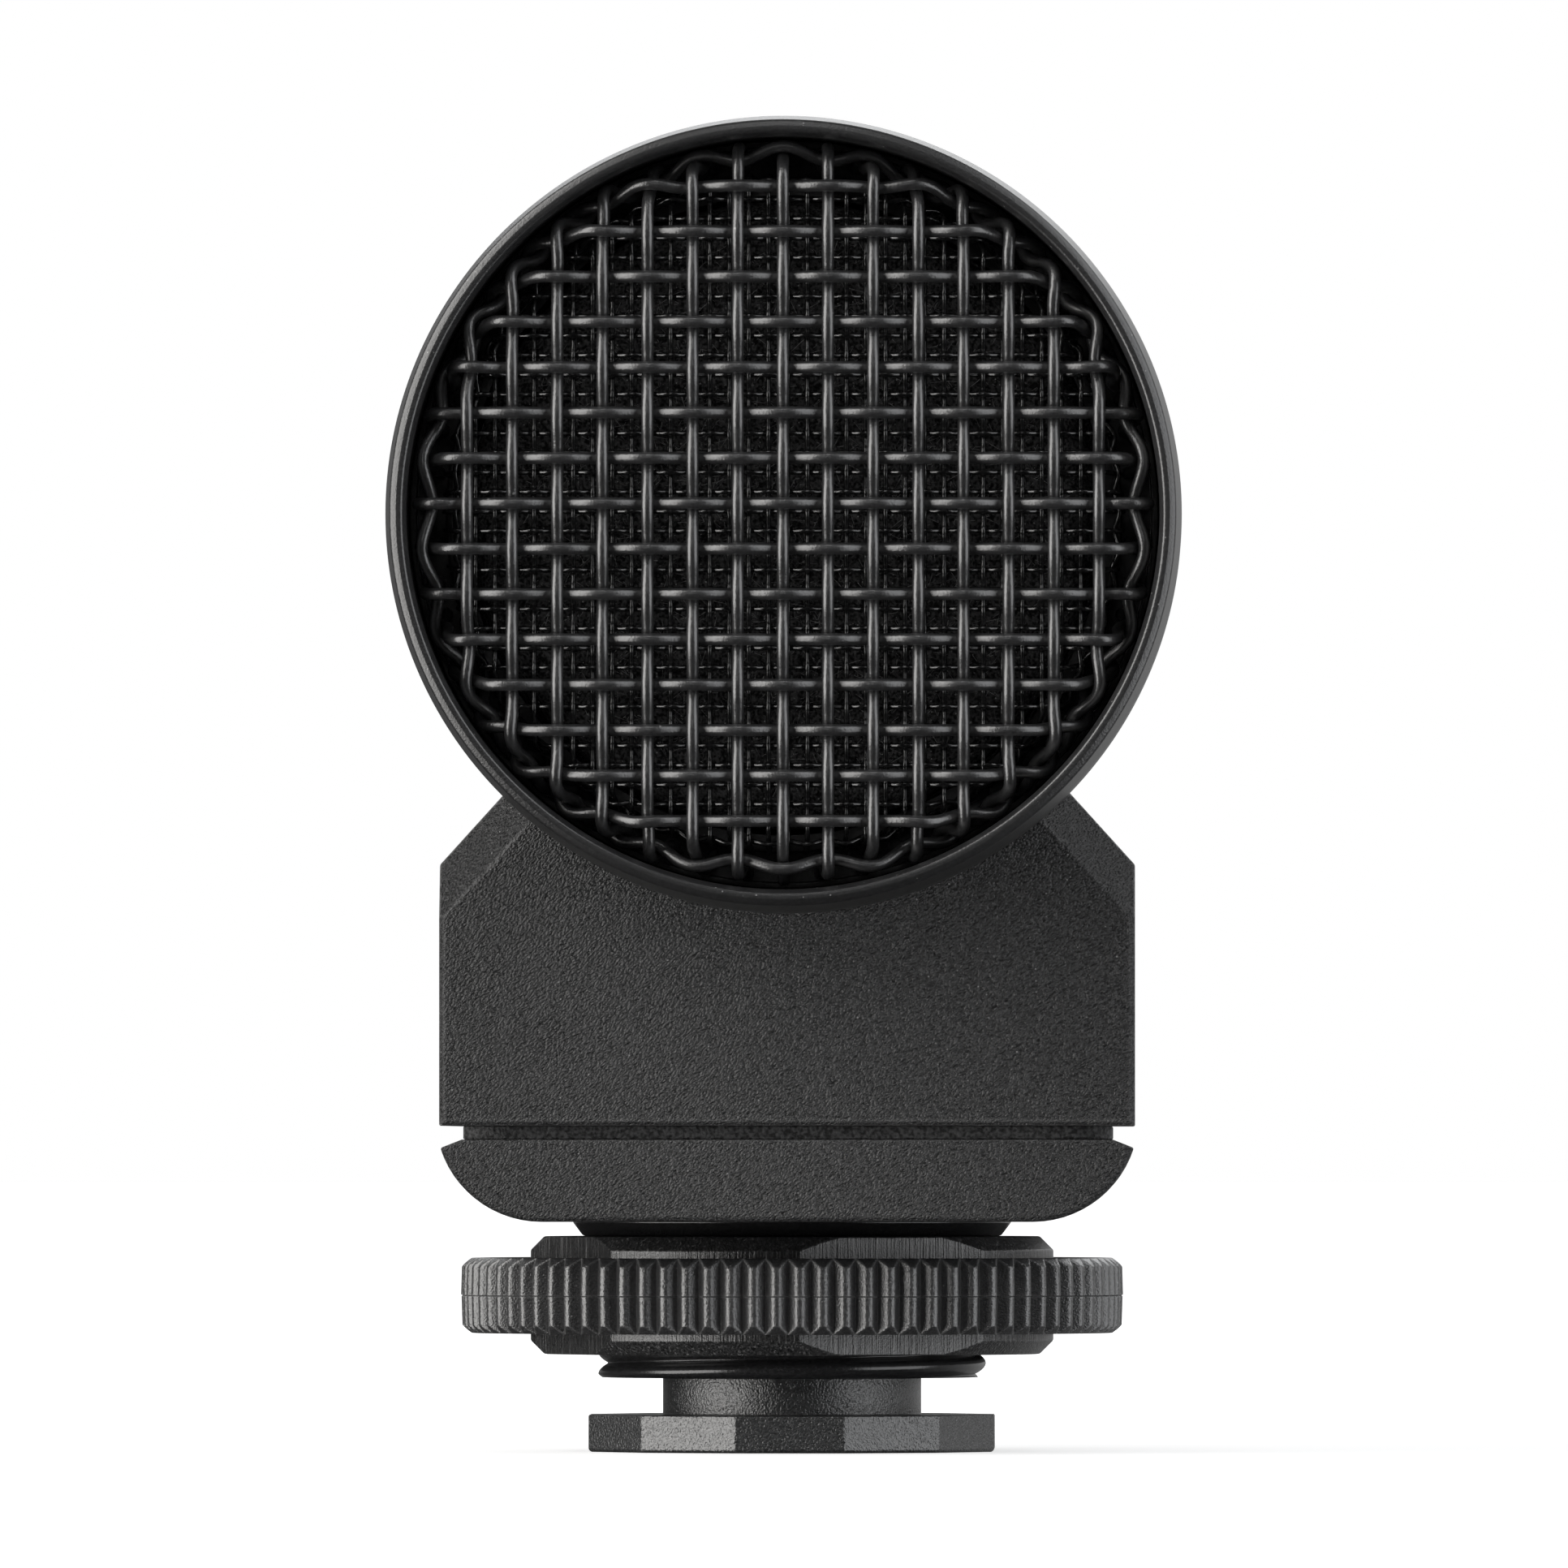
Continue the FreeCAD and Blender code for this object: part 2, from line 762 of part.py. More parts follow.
# Side screens: curved sheets of fine mesh against the barrel's inside, behind the slots

def side_screens():
    outer = barrel_bore - side_screen_gap
    inner = outer - side_screen_thickness
    front = slot_front - side_screen_margin
    back = slot_rear + side_screen_margin
    rise = barrel_bore * math.sin(math.radians(slots_per_side * slot_step_angle / 2))
    sleeve = level_round(ring_sides, [(outer, front), (outer, back)])
    hollow = level_round(ring_sides, [(inner, front - cut_overrun), (inner, back + cut_overrun)])
    sleeve = sleeve.cut(hollow)
    screens = []
    for near, far in ((-barrel_radius, 0), (0, barrel_radius)):
        screens.append(sleeve.common(box(near, far, front, back, axis_height - rise, axis_height + rise)))
    return Part.makeCompound(screens)


# Rear cover: a plate with the outline of the housing, held by four screws

def jack_round(inner_radius, front, back):
    """A many-sided round on the jack's axis."""
    return level_round(soft_sides, [(inner_radius, front), (inner_radius, back)], 0, jack_axis_height)


def rear_cover():
    body = housing_outline(housing_rear, rear_end)
    edges = [edge for edge in body.Edges
             if all(abs(vertex.Y - rear_end) < press_fit for vertex in edge.Vertexes)]
    body = body.makeChamfer(cover_bevel, edges)
    seat = rear_end - cover_screw_head_depth
    for across, level in cover_screw_places():
        body = body.cut(level_screw_part(cover_screw_head_radius + screw_fit, seat,
                                         rear_end + cut_overrun, across, level))
        body = body.cut(level_screw_part(cover_screw_shank_radius + screw_fit,
                                         housing_rear - cut_overrun, seat, across, level))
    recess = jack_round(jack_nut_radius + jack_nut_gap, rear_end - jack_nut_thickness,
                        rear_end + cut_overrun)
    hole = jack_round(jack_nose_radius + screw_fit, housing_rear - cut_overrun, rear_end)
    return body.cut(recess).cut(hole)


def rear_cover_screws():
    screws = []
    seat = rear_end - cover_screw_head_depth
    for across, level in cover_screw_places():
        head = level_screw_part(cover_screw_head_radius, seat, rear_end, across, level)
        shank = level_screw_part(cover_screw_shank_radius, seat - cover_screw_length, seat,
                                 across, level)
        socket = level_round(socket_sides, [(cover_screw_socket_radius, rear_end - cover_screw_socket_depth),
                                            (cover_screw_socket_radius, rear_end + cut_overrun)],
                             across, level)
        screws.append(fuse_all([head, shank]).cut(socket))
    return Part.makeCompound(screws)


# Front bezel: a turned metal ring that tapers to a thin lip, plugged into the barrel

def front_bezel():
    taper_end = front_end + bezel_taper_length
    taper = Part.makeCone(bezel_front_radius, bezel_back_radius, bezel_taper_length,
                          at_axis(0, front_end), Vector(0, 1, 0))
    body = rod(bezel_back_radius, taper_end, bezel_back)
    outside = inside_round(spigot_radius, ring_sides)
    spigot = level_round(ring_sides, [(outside, bezel_back), (outside, spigot_end)])
    bore = rod(bezel_bore, front_end - cut_overrun, rim_back)
    passage = level_round(ring_sides, [(bezel_inner_bore, front_end),
                                       (bezel_inner_bore, spigot_end + cut_overrun)])
    return fuse_all([taper, body, spigot]).cut(bore).cut(passage)


# Grille rim: a folded channel that holds the cut ends of the mesh and sits in the bezel

def grille_rim():
    front = skirt_end - rim_grip_height
    floor = rim_back - rim_sheet
    outside = inside_round(rim_radius, ring_sides)
    ring = level_round(ring_sides, [(outside, front), (outside, rim_back)])
    before = front - cut_overrun
    bore = level_round(ring_sides, [(rim_inner_radius, before), (rim_inner_radius, rim_back + cut_overrun)])
    channel = level_round(ring_sides, [(outside - rim_sheet, before), (outside - rim_sheet, floor)])
    inner_wall = rim_inner_radius + rim_sheet
    channel = channel.cut(level_round(ring_sides, [(inner_wall, before), (inner_wall, floor)]))
    return ring.cut(bore).cut(channel)


# Woven mesh: a flat plain weave pressed over the dome, so each wire dips under and over the others

def dome_place(across, up):
    """The point of the dome's middle surface under a place of the flat mesh, and its outward normal."""
    reach = math.hypot(across, up)
    if reach <= crown_reach:
        angle = reach / crown_radius
        radius = crown_radius * math.sin(angle)
        place = mesh_apex + crown_radius * (1 - math.cos(angle))
    elif reach <= shoulder_reach:
        angle = crown_angle + (reach - crown_reach) / mesh_shoulder_radius
        radius = shoulder_centre_radius + mesh_shoulder_radius * math.sin(angle)
        place = skirt_start - mesh_shoulder_radius * math.cos(angle)
    else:
        angle = math.pi / 2
        radius = mesh_wall_radius
        place = skirt_start + reach - shoulder_reach
    sideways = across / reach if reach else 0
    upwards = up / reach if reach else 0
    point = Vector(radius * sideways, place, axis_height + radius * upwards)
    normal = Vector(math.sin(angle) * sideways, -math.cos(angle), math.sin(angle) * upwards)
    return point, normal


def wire_numbers(pitch, shift):
    """The wires of one direction that reach the crown or the shoulder of the dome."""
    most = int(mesh_reach / pitch) + 1
    return [number for number in range(-most, most + 1) if abs(shift + pitch * number) < shoulder_reach]


def section_corners(point, run, outward, diameter, sides):
    """The corners of a wire's section, as large as the round one, with one flat towards the outside."""
    outward = (outward - run * outward.dot(run)).normalize()
    sideways = run.cross(outward)
    round_area = math.pi * (diameter / 2) ** 2
    reach = math.sqrt(round_area / (sides / 2 * math.sin(2 * math.pi / sides)))
    corners = []
    for side in range(sides):
        turn = 2 * math.pi * (side + 1 / 2) / sides
        corners.append(point + outward * (reach * math.cos(turn)) + sideways * (reach * math.sin(turn)))
    return corners


def slid_corners(corners, run, point, facing):
    """The corners moved along a run to the plane through a point, so each side of the run stays flat."""
    return [corner + run * ((point - corner).dot(facing) / run.dot(facing)) for corner in corners]


def bent_wire(points, outward, diameter, sides):
    """A wire as straight runs between its points, mitred where they meet."""
    runs = [(after - before).normalize() for before, after in zip(points, points[1:])]
    facings = [runs[0]] + [(first + last).normalize() for first, last in zip(runs, runs[1:])] + [runs[-1]]
    middle = len(runs) // 2
    halfway = (points[middle] + points[middle + 1]) * (1 / 2)
    section = section_corners(halfway, runs[middle], outward, diameter, sides)
    rings = [None] * len(points)
    rings[middle] = slid_corners(section, runs[middle], points[middle], facings[middle])
    for number in range(middle + 1, len(points)):
        rings[number] = slid_corners(rings[number - 1], runs[number - 1], points[number], facings[number])
    for number in range(middle - 1, -1, -1):
        rings[number] = slid_corners(rings[number + 1], runs[number], points[number], facings[number])
    return joined_rings(rings)


def woven_wires(upright):
    """All wires of one direction. At each crossing one wire passes in front and the other behind."""
    own_pitch, own_shift = (upright_pitch, 0) if upright else (level_pitch, level_shift)
    cross_pitch, cross_shift = (level_pitch, level_shift) if upright else (upright_pitch, 0)
    front_turn = 1 if upright else 0
    most = int(mesh_reach / cross_pitch) + 1
    wires = []
    for own in wire_numbers(own_pitch, own_shift):
        offset = own_shift + own_pitch * own
        ends = {side: side * math.sqrt(mesh_reach ** 2 - offset ** 2) for side in (-1, 1)}
        crossings = [(cross, cross_shift + cross_pitch * cross) for cross in range(-most, most + 1)]
        for side in (-1, 1):
            for cross, along in crossings:
                if abs(along - ends[side]) < wire_end_margin:
                    ends[side] = along - side * wire_end_margin
        stations = [(ends[-1], 0)]
        for cross, along in crossings:
            if ends[-1] < along < ends[1]:
                lift = wire_crimp + (wire_shoulder_lift if math.hypot(offset, along) > crown_reach else 0)
                stations.append((along, lift if (own + cross) % 2 == front_turn else -lift))
        stations.append((ends[1], 0))
        points = []
        for along, lift in stations:
            point, normal = dome_place(offset, along) if upright else dome_place(along, offset)
            points.append(point + normal * lift)
        middle_normal = dome_place(offset, 0)[1] if upright else dome_place(0, offset)[1]
        wires.append(bent_wire(points, middle_normal, wire_bar_share * wire_diameter, wire_sides))
    return Part.makeCompound(wires)


# Fine screen: a shallow pressed pan that keeps the foam off the mesh

def inner_screen():
    outer = rim_inner_radius - screen_fit
    slant = screen_thickness * math.tan(math.pi / 8)
    pan = level_round(ring_sides, [(outer - screen_shoulder, screen_face),
                                   (outer, screen_face + screen_shoulder),
                                   (outer, rim_back)])
    inside = outer - screen_thickness
    hollow = level_round(ring_sides, [(outer - screen_shoulder - slant, screen_face + screen_thickness),
                                      (inside, screen_face + screen_shoulder + slant),
                                      (inside, rim_back + cut_overrun)])
    return pan.cut(hollow)


def foam_liner():
    """A foam plug between the fine screen and the capsule, with a bevelled front edge."""
    radius = bezel_inner_bore - foam_gap
    front = screen_face + screen_thickness + foam_seat_gap
    return level_round(soft_sides, [(radius - foam_edge, front),
                                    (radius, front + foam_edge),
                                    (radius, capsule_front - foam_seat_gap)])


# Capsule in its cradle, hung on two rubber isolators

def capsule():
    return level_round(soft_sides, [(capsule_radius, capsule_front), (capsule_radius, capsule_rear)])


def octagon(inner_radius, front, back):
    """An eight-sided prism along the barrel's axis."""
    return level_round(cradle_sides, [(inner_radius, front), (inner_radius, back)])


def capsule_cradle():
    front = capsule_front + capsule_lip
    body = octagon(capsule_radius + cradle_wall, front, capsule_rear + cradle_back)
    bore = capsule_radius + press_fit
    body = body.cut(level_round(soft_sides, [(bore, front - cut_overrun), (bore, capsule_rear)]))
    hole = [(cradle_lead_hole_radius, capsule_rear - cut_overrun),
            (cradle_lead_hole_radius, capsule_rear + 2 * cradle_back)]
    return body.cut(level_round(screw_sides, hole))


def isolator(front):
    """A rubber ring round the cradle, with four arms that reach the barrel."""
    back = front + isolator_thickness
    inside = capsule_radius + cradle_wall
    reach = barrel_bore - isolator_fit
    half = isolator_arm_width / 2
    disc = level_round(ring_sides, [(reach, front), (reach, back)])
    arms = fuse_all([
        box(-reach, reach, front, back, axis_height - half, axis_height + half),
        box(-half, half, front, back, axis_height - reach, axis_height + reach),
    ])
    ring = octagon(inside + isolator_ring_width, front, back)
    whole = fuse_all([arms.common(disc), ring])
    return whole.cut(octagon(inside, front - cut_overrun, back + cut_overrun))


def front_isolator():
    return isolator(capsule_front + capsule_lip + isolator_inset)


def rear_isolator():
    return isolator(capsule_rear + cradle_back - isolator_inset - isolator_thickness)


# Lead: a thin cable from the capsule back along the axis and down to the board's plug

def capsule_lead():
    bend = lead_bend_share * lead_reach
    points = [at_axis(0, capsule_rear)]
    for step in range(lead_bend_steps + 1):
        turn = math.pi / 2 * step / lead_bend_steps
        place = lead_drop - bend + bend * math.sin(turn)
        points.append(Vector(0, place, axis_height - bend + bend * math.cos(turn)))
    points.append(Vector(0, lead_drop, board_top + plug_height))
    return bent_wire(points, Vector(1, 0, 0), lead_diameter, screw_sides)


# Circuit board on its rails, with the lead's plug, two chips and two capacitors

def circuit_board():
    half = block_half_width - block_wall - board_side_gap
    return box(-half, half, board_front, board_rear, board_bottom, board_top)


def board_parts():
    half_plug = plug_width / 2
    pieces = [box(-half_plug, half_plug, lead_drop - half_plug, lead_drop + half_plug,
                  board_top, board_top + plug_height)]
    half_chip = chip_size / 2
    for side in (-1, 1):
        middle = side * capacitor_spread
        along = lead_drop + chip_setback
        pieces.append(box(middle - half_chip, middle + half_chip, along - half_chip, along + half_chip,
                          board_top, board_top + chip_height))
        pieces.append(upright_prism(screw_sides, [(capacitor_radius, board_top),
                                                 (capacitor_radius, board_top + capacitor_height)],
                                    middle, lead_drop + capacitor_setback))
    return Part.makeCompound(pieces)


# Jack: a moulded body on the board, whose nose passes the rear cover and takes a ring nut

def jack_socket():
    half = jack_width / 2
    body = box(-half, half, housing_rear - jack_length, housing_rear, board_top, board_top + jack_height)
    mouth = rear_end - jack_nose_inset
    nose = jack_round(inside_round(jack_nose_radius, soft_sides), housing_rear - cut_overrun, mouth)
    bore = rod(jack_bore_radius, mouth - jack_bore_depth, mouth + cut_overrun, 0, jack_axis_height)
    return fuse_all([body, nose]).cut(bore)


def jack_nut():
    front = rear_end - jack_nut_thickness
    ring = jack_round(inside_round(jack_nut_radius, soft_sides), front, rear_end)
    ring = ring.cut(jack_round(jack_nose_radius + screw_fit, front - cut_overrun, rear_end + cut_overrun))
    half = jack_nut_slot_width / 2
    reach = jack_nut_radius + cut_overrun
    slot = box(-reach, reach, rear_end - jack_nut_slot_depth, rear_end + cut_overrun,
               jack_axis_height - half, jack_axis_height + half)
    return ring.cut(slot)


def jack_contacts():
    """Flat metal legs on the jack's right side, down to the board."""
    legs = []
    side = jack_width / 2
    for number in range(contact_count):
        along = housing_rear - jack_length / 2 + contact_spacing * (number - (contact_count - 1) / 2)
        front = along - contact_width / 2
        legs.append(box(side, side + contact_thickness, front, front + contact_width,
                        board_top, jack_axis_height))
    return Part.makeCompound(legs)


os.makedirs("parts", exist_ok=True)
pieces = [
    ("shoe_foot", shoe_foot()),
    ("foot_screw", foot_screw()),
    ("threaded_stem", threaded_stem()),
    ("stem_screws", stem_screws()),
    ("lock_nut", lock_nut()),
    ("slip_washer", slip_washer()),
    ("knurled_grip", knurled_grip()),
    ("base_plate", base_plate()),
    ("base_screws", base_screws()),
    ("base_gasket", base_gasket()),
    ("main_housing", main_housing()),
    ("side_screens", side_screens()),
    ("rear_cover", rear_cover()),
    ("rear_cover_screws", rear_cover_screws()),
    ("front_bezel", front_bezel()),
    ("grille_rim", grille_rim()),
    ("grille_uprights", woven_wires(True)),
    ("grille_levels", woven_wires(False)),
    ("inner_screen", inner_screen()),
    ("foam_liner", foam_liner()),
    ("capsule", capsule()),
    ("capsule_cradle", capsule_cradle()),
    ("front_isolator", front_isolator()),
    ("rear_isolator", rear_isolator()),
    ("capsule_lead", capsule_lead()),
    ("circuit_board", circuit_board()),
    ("board_parts", board_parts()),
    ("jack_socket", jack_socket()),
    ("jack_nut", jack_nut()),
    ("jack_contacts", jack_contacts()),
]
for name, shape in pieces:
    save(name, shape)
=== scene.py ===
import bmesh
import bpy
import math
import numpy as np
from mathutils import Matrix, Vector


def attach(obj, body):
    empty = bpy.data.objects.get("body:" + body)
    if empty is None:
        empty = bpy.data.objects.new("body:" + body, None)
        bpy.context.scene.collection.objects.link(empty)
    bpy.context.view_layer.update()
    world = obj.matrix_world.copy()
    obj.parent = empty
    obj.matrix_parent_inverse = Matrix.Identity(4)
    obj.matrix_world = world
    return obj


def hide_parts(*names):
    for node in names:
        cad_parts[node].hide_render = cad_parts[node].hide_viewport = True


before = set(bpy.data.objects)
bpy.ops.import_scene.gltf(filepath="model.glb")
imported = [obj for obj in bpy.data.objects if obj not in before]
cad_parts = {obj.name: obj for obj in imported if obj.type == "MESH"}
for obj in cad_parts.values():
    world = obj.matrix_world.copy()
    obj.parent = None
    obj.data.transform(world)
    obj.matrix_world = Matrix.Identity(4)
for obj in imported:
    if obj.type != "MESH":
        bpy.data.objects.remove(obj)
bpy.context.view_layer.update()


# Table top and surround. A plain pale matt table under an even white surround. It casts no shadow
# itself, so lamps reach the microphone from below as well, and mirror rays don't see it.
millimetre = 0.001


def node(tree, kind, inputs=None, **settings):
    """A node with its settings. An input is a plain value, or the output of another node."""
    made = tree.nodes.new(kind)
    for setting, value in settings.items():
        setattr(made, setting, value)
    for socket, value in (inputs or {}).items():
        if isinstance(value, bpy.types.NodeSocket):
            tree.links.new(value, made.inputs[socket])
        else:
            made.inputs[socket].default_value = value
    return made


def math_node(tree, operation, first, second=0.0, clamp=False):
    """The result of one sum on two values."""
    return node(tree, "ShaderNodeMath", {0: first, 1: second}, operation=operation, use_clamp=clamp).outputs[0]


def seen_directly_or_mirrored(tree):
    """1 for camera, mirror and glass rays, 0 for rays that light the object."""
    rays = node(tree, "ShaderNodeLightPath").outputs
    direct = math_node(tree, "ADD", rays["Is Camera Ray"], rays["Is Glossy Ray"])
    return math_node(tree, "ADD", direct, rays["Is Transmission Ray"], clamp=True)


surround = bpy.data.worlds.new("white_surround")
surround.use_nodes = True
bpy.context.scene.world = surround
tree = surround.node_tree
ambient_level = 0.2
seen = seen_directly_or_mirrored(tree)
level = node(tree, "ShaderNodeMapRange", {"Value": seen, "To Min": ambient_level, "To Max": 1.0})
tree.links.new(level.outputs["Result"], tree.nodes["Background"].inputs["Strength"])
tree.nodes["Background"].inputs["Color"].default_value = (1, 1, 1, 1)

table_half = 9.0
table_grey = 0.5
dim_radius, blend_radius = 0.08, 0.3
dim_glow = 0.62
table_mesh = bpy.data.meshes.new("table_top")
table_mesh.from_pydata([(-table_half, -table_half, 0), (table_half, -table_half, 0),
                        (table_half, table_half, 0), (-table_half, table_half, 0)], [], [(0, 1, 2, 3)])
table_top = bpy.data.objects.new("table_top", table_mesh)
bpy.context.scene.collection.objects.link(table_top)
table_finish = bpy.data.materials.new("pale_table")
table_finish.use_nodes = True
tree = table_finish.node_tree
shader = tree.nodes["Principled BSDF"]
shader.inputs["Base Color"].default_value = (table_grey, table_grey, table_grey, 1)
shader.inputs["Roughness"].default_value = 0.7
shader.inputs["Specular IOR Level"].default_value = 0.1
shader.inputs["Emission Color"].default_value = (1, 1, 1, 1)
place = node(tree, "ShaderNodeTexCoord").outputs["Object"]
away = node(tree, "ShaderNodeVectorMath", {0: place}, operation="LENGTH").outputs["Value"]
glow = node(tree, "ShaderNodeMapRange", {"Value": away, "From Min": dim_radius, "From Max": blend_radius,
                                         "To Min": dim_glow, "To Max": 1.0}).outputs["Result"]
tree.links.new(math_node(tree, "MULTIPLY", glow, seen_directly_or_mirrored(tree)),
               shader.inputs["Emission Strength"])
table_mesh.materials.append(table_finish)
table_top.visible_glossy = False
table_top.visible_shadow = False


# Soft boxes. Two tall ones at the sides that reach above and below the microphone, a small one
# overhead, a weak one in front and a wide one high up behind.
aim = Vector((0, 0, 0.03))


def soft_box(name, place, width, height, radiance, tint=(1, 1, 1)):
    """A rectangular lamp that faces the microphone. Places and sizes are in metres."""
    lamp = bpy.data.lights.new(name, "AREA")
    lamp.shape = "RECTANGLE"
    lamp.size, lamp.size_y = width, height
    lamp.energy = radiance * math.pi * width * height
    lamp.color = tint
    box = bpy.data.objects.new(name, lamp)
    box.location = place
    box.rotation_mode = "QUATERNION"
    box.rotation_quaternion = (Vector(place) - aim).to_track_quat("Z", "Y")
    bpy.context.scene.collection.objects.link(box)


soft_box("left_box", (-0.914, -0.407, 0.26), width=0.95, height=1.9, radiance=5.3, tint=(1.0, 0.985, 0.965))
soft_box("right_box", (0.914, -0.407, 0.26), width=0.95, height=1.9, radiance=2.5, tint=(0.975, 0.985, 1.0))
soft_box("top_box", (0.0, -0.574, 0.85), width=0.16, height=0.14, radiance=8.0)
soft_box("rear_top_box", (0.12, 1.0, 0.6), width=1.0, height=0.5, radiance=2.4, tint=(0.97, 0.985, 1.0))
soft_box("front_box", (-0.1, -1.6, 0.55), width=0.4, height=0.3, radiance=2.6)


# Graded cloth. A cloth all round that only mirror rays see, nearly black in front and lighter
# behind, above and to the right, so that black metal and plastic keep their depth.
cloth_radius = 2.4
least_light, least_grade, middle_grade = 0.006, 0.04, 0.32
sideways_gain, upwards_gain = 0.5, 0.6
behind_start, behind_end = -0.1, 0.9
cloth_finish = bpy.data.materials.new("graded_cloth")
cloth_finish.use_nodes = True
tree = cloth_finish.node_tree
shader = tree.nodes["Principled BSDF"]
shader.inputs["Base Color"].default_value = (0, 0, 0, 1)
shader.inputs["Specular IOR Level"].default_value = 0.0
shader.inputs["Emission Color"].default_value = (1, 1, 1, 1)
place = node(tree, "ShaderNodeTexCoord").outputs["Object"]
towards = node(tree, "ShaderNodeVectorMath", {0: place}, operation="NORMALIZE").outputs[0]
parts = node(tree, "ShaderNodeSeparateXYZ", {0: towards}).outputs
behind = node(tree, "ShaderNodeMapRange", {"Value": parts["Y"], "From Min": behind_start,
                                           "From Max": behind_end}).outputs["Result"]
sideways = math_node(tree, "MULTIPLY", parts["X"], sideways_gain)
upwards = math_node(tree, "MULTIPLY", parts["Z"], upwards_gain)
grade = math_node(tree, "ADD", math_node(tree, "ADD", sideways, upwards), middle_grade)
grade = math_node(tree, "MAXIMUM", grade, least_grade)
tree.links.new(math_node(tree, "ADD", math_node(tree, "MULTIPLY", grade, behind), least_light),
               shader.inputs["Emission Strength"])
cloth_mesh = bpy.data.meshes.new("graded_surround")
shape = bmesh.new()
bmesh.ops.create_uvsphere(shape, u_segments=48, v_segments=24, radius=cloth_radius)
shape.to_mesh(cloth_mesh)
shape.free()
graded_surround = bpy.data.objects.new("graded_surround", cloth_mesh)
cloth_mesh.materials.append(cloth_finish)
bpy.context.scene.collection.objects.link(graded_surround)
for ray in ("camera", "diffuse", "transmission", "volume_scatter", "shadow"):
    setattr(graded_surround, "visible_" + ray, False)


# Camera. It stands 1.3 m in front with a long lens, a little right of the microphone and low.
camera = bpy.data.objects.new("camera", bpy.data.cameras.new("camera"))
camera_aim = Vector((-0.00037, 0, 0.03064))
camera.data.lens = 650
camera.data.sensor_width = 36
camera.data.clip_end = 50
camera.location = (0.0158, -1.3, 0.0141)
camera.rotation_mode = "QUATERNION"
camera.rotation_quaternion = (camera.location - camera_aim).to_track_quat("Z", "Y")
bpy.context.scene.collection.objects.link(camera)
bpy.context.scene.camera = camera
bpy.context.scene.view_settings.view_transform = "Standard"


# Shoe foot. A twelve-sided disc with a round neck, cast in metal and painted black, which slides
# into the camera's shoe. Its facets keep the rough skin of the casting, and its edges are bare
# of paint in places.
def shared_effect(name, inputs, outputs):
    """An empty node group with number sockets, and its two end nodes."""
    group = bpy.data.node_groups.new(name, "ShaderNodeTree")
    for socket, value in inputs.items():
        given = group.interface.new_socket(socket, in_out="INPUT", socket_type="NodeSocketFloat")
        given.default_value = value
    for socket in outputs:
        group.interface.new_socket(socket, in_out="OUTPUT", socket_type="NodeSocketFloat")
    return group, group.nodes.new("NodeGroupInput").outputs, group.nodes.new("NodeGroupOutput").inputs


def texture_place(tree, cell, stretch=(1, 1, 1)):
    """The place on the object, counted in cells of so many millimetres."""
    place = node(tree, "ShaderNodeTexCoord").outputs["Object"]
    stretched = node(tree, "ShaderNodeVectorMath", {0: place, 1: stretch}, operation="MULTIPLY").outputs[0]
    scale = math_node(tree, "DIVIDE", 1 / millimetre, cell)
    return node(tree, "ShaderNodeVectorMath", {0: stretched, "Scale": scale}, operation="SCALE").outputs[0]


grain_run = Vector((1, 0.5, 0.75)).normalized()
pebble_share, cloud_share = 0.5, 0.16
relief_middle, relief_gain, tone_middle = 0.28, 3.4, 0.42
grain_effect, given, made = shared_effect("grain", {"Cell": 0.3, "Run": 0.0}, ["Height", "Tone"])
place = texture_place(grain_effect, given["Cell"])
run_part = node(grain_effect, "ShaderNodeVectorMath", {0: place, 1: grain_run},
                operation="DOT_PRODUCT").outputs["Value"]
run_part = math_node(grain_effect, "MULTIPLY", run_part, given["Run"])
run_step = node(grain_effect, "ShaderNodeVectorMath", {0: grain_run, "Scale": run_part},
                operation="SCALE").outputs[0]
place = node(grain_effect, "ShaderNodeVectorMath", {0: place, 1: run_step}, operation="SUBTRACT").outputs[0]
pebbles = node(grain_effect, "ShaderNodeTexVoronoi", {"Vector": place, "Scale": 1.0, "Randomness": 1.0},
               feature="SMOOTH_F1").outputs["Distance"]
crinkle = node(grain_effect, "ShaderNodeTexNoise", {"Vector": place, "Scale": 1.3, "Detail": 2.0,
                                                    "Roughness": 0.5}).outputs["Fac"]
cloud = node(grain_effect, "ShaderNodeTexNoise", {"Vector": place, "Scale": 0.12, "Detail": 2.0}).outputs["Fac"]
relief = math_node(grain_effect, "SUBTRACT", crinkle,
                   math_node(grain_effect, "MULTIPLY", pebbles, pebble_share))
grain_effect.links.new(relief, made["Height"])
raised = math_node(grain_effect, "MULTIPLY", math_node(grain_effect, "SUBTRACT", relief, relief_middle),
                   relief_gain)
drift = math_node(grain_effect, "MULTIPLY", cloud, cloud_share)
grain_effect.links.new(math_node(grain_effect, "ADD", math_node(grain_effect, "ADD", raised, drift),
                                 tone_middle, clamp=True), made["Tone"])

speck_effect, given, made = shared_effect("specks", {"Spacing": 0.5, "Size": 0.1, "Share": 0.1}, ["Mask"])
place = texture_place(speck_effect, given["Spacing"])
spots = node(speck_effect, "ShaderNodeTexVoronoi", {"Vector": place, "Scale": 1.0})
near = math_node(speck_effect, "LESS_THAN", spots.outputs["Distance"], given["Size"])
picked = node(speck_effect, "ShaderNodeSeparateColor", {"Color": spots.outputs["Color"]}).outputs["Red"]
chosen = math_node(speck_effect, "LESS_THAN", picked, given["Share"])
speck_effect.links.new(math_node(speck_effect, "MULTIPLY", near, chosen), made["Mask"])

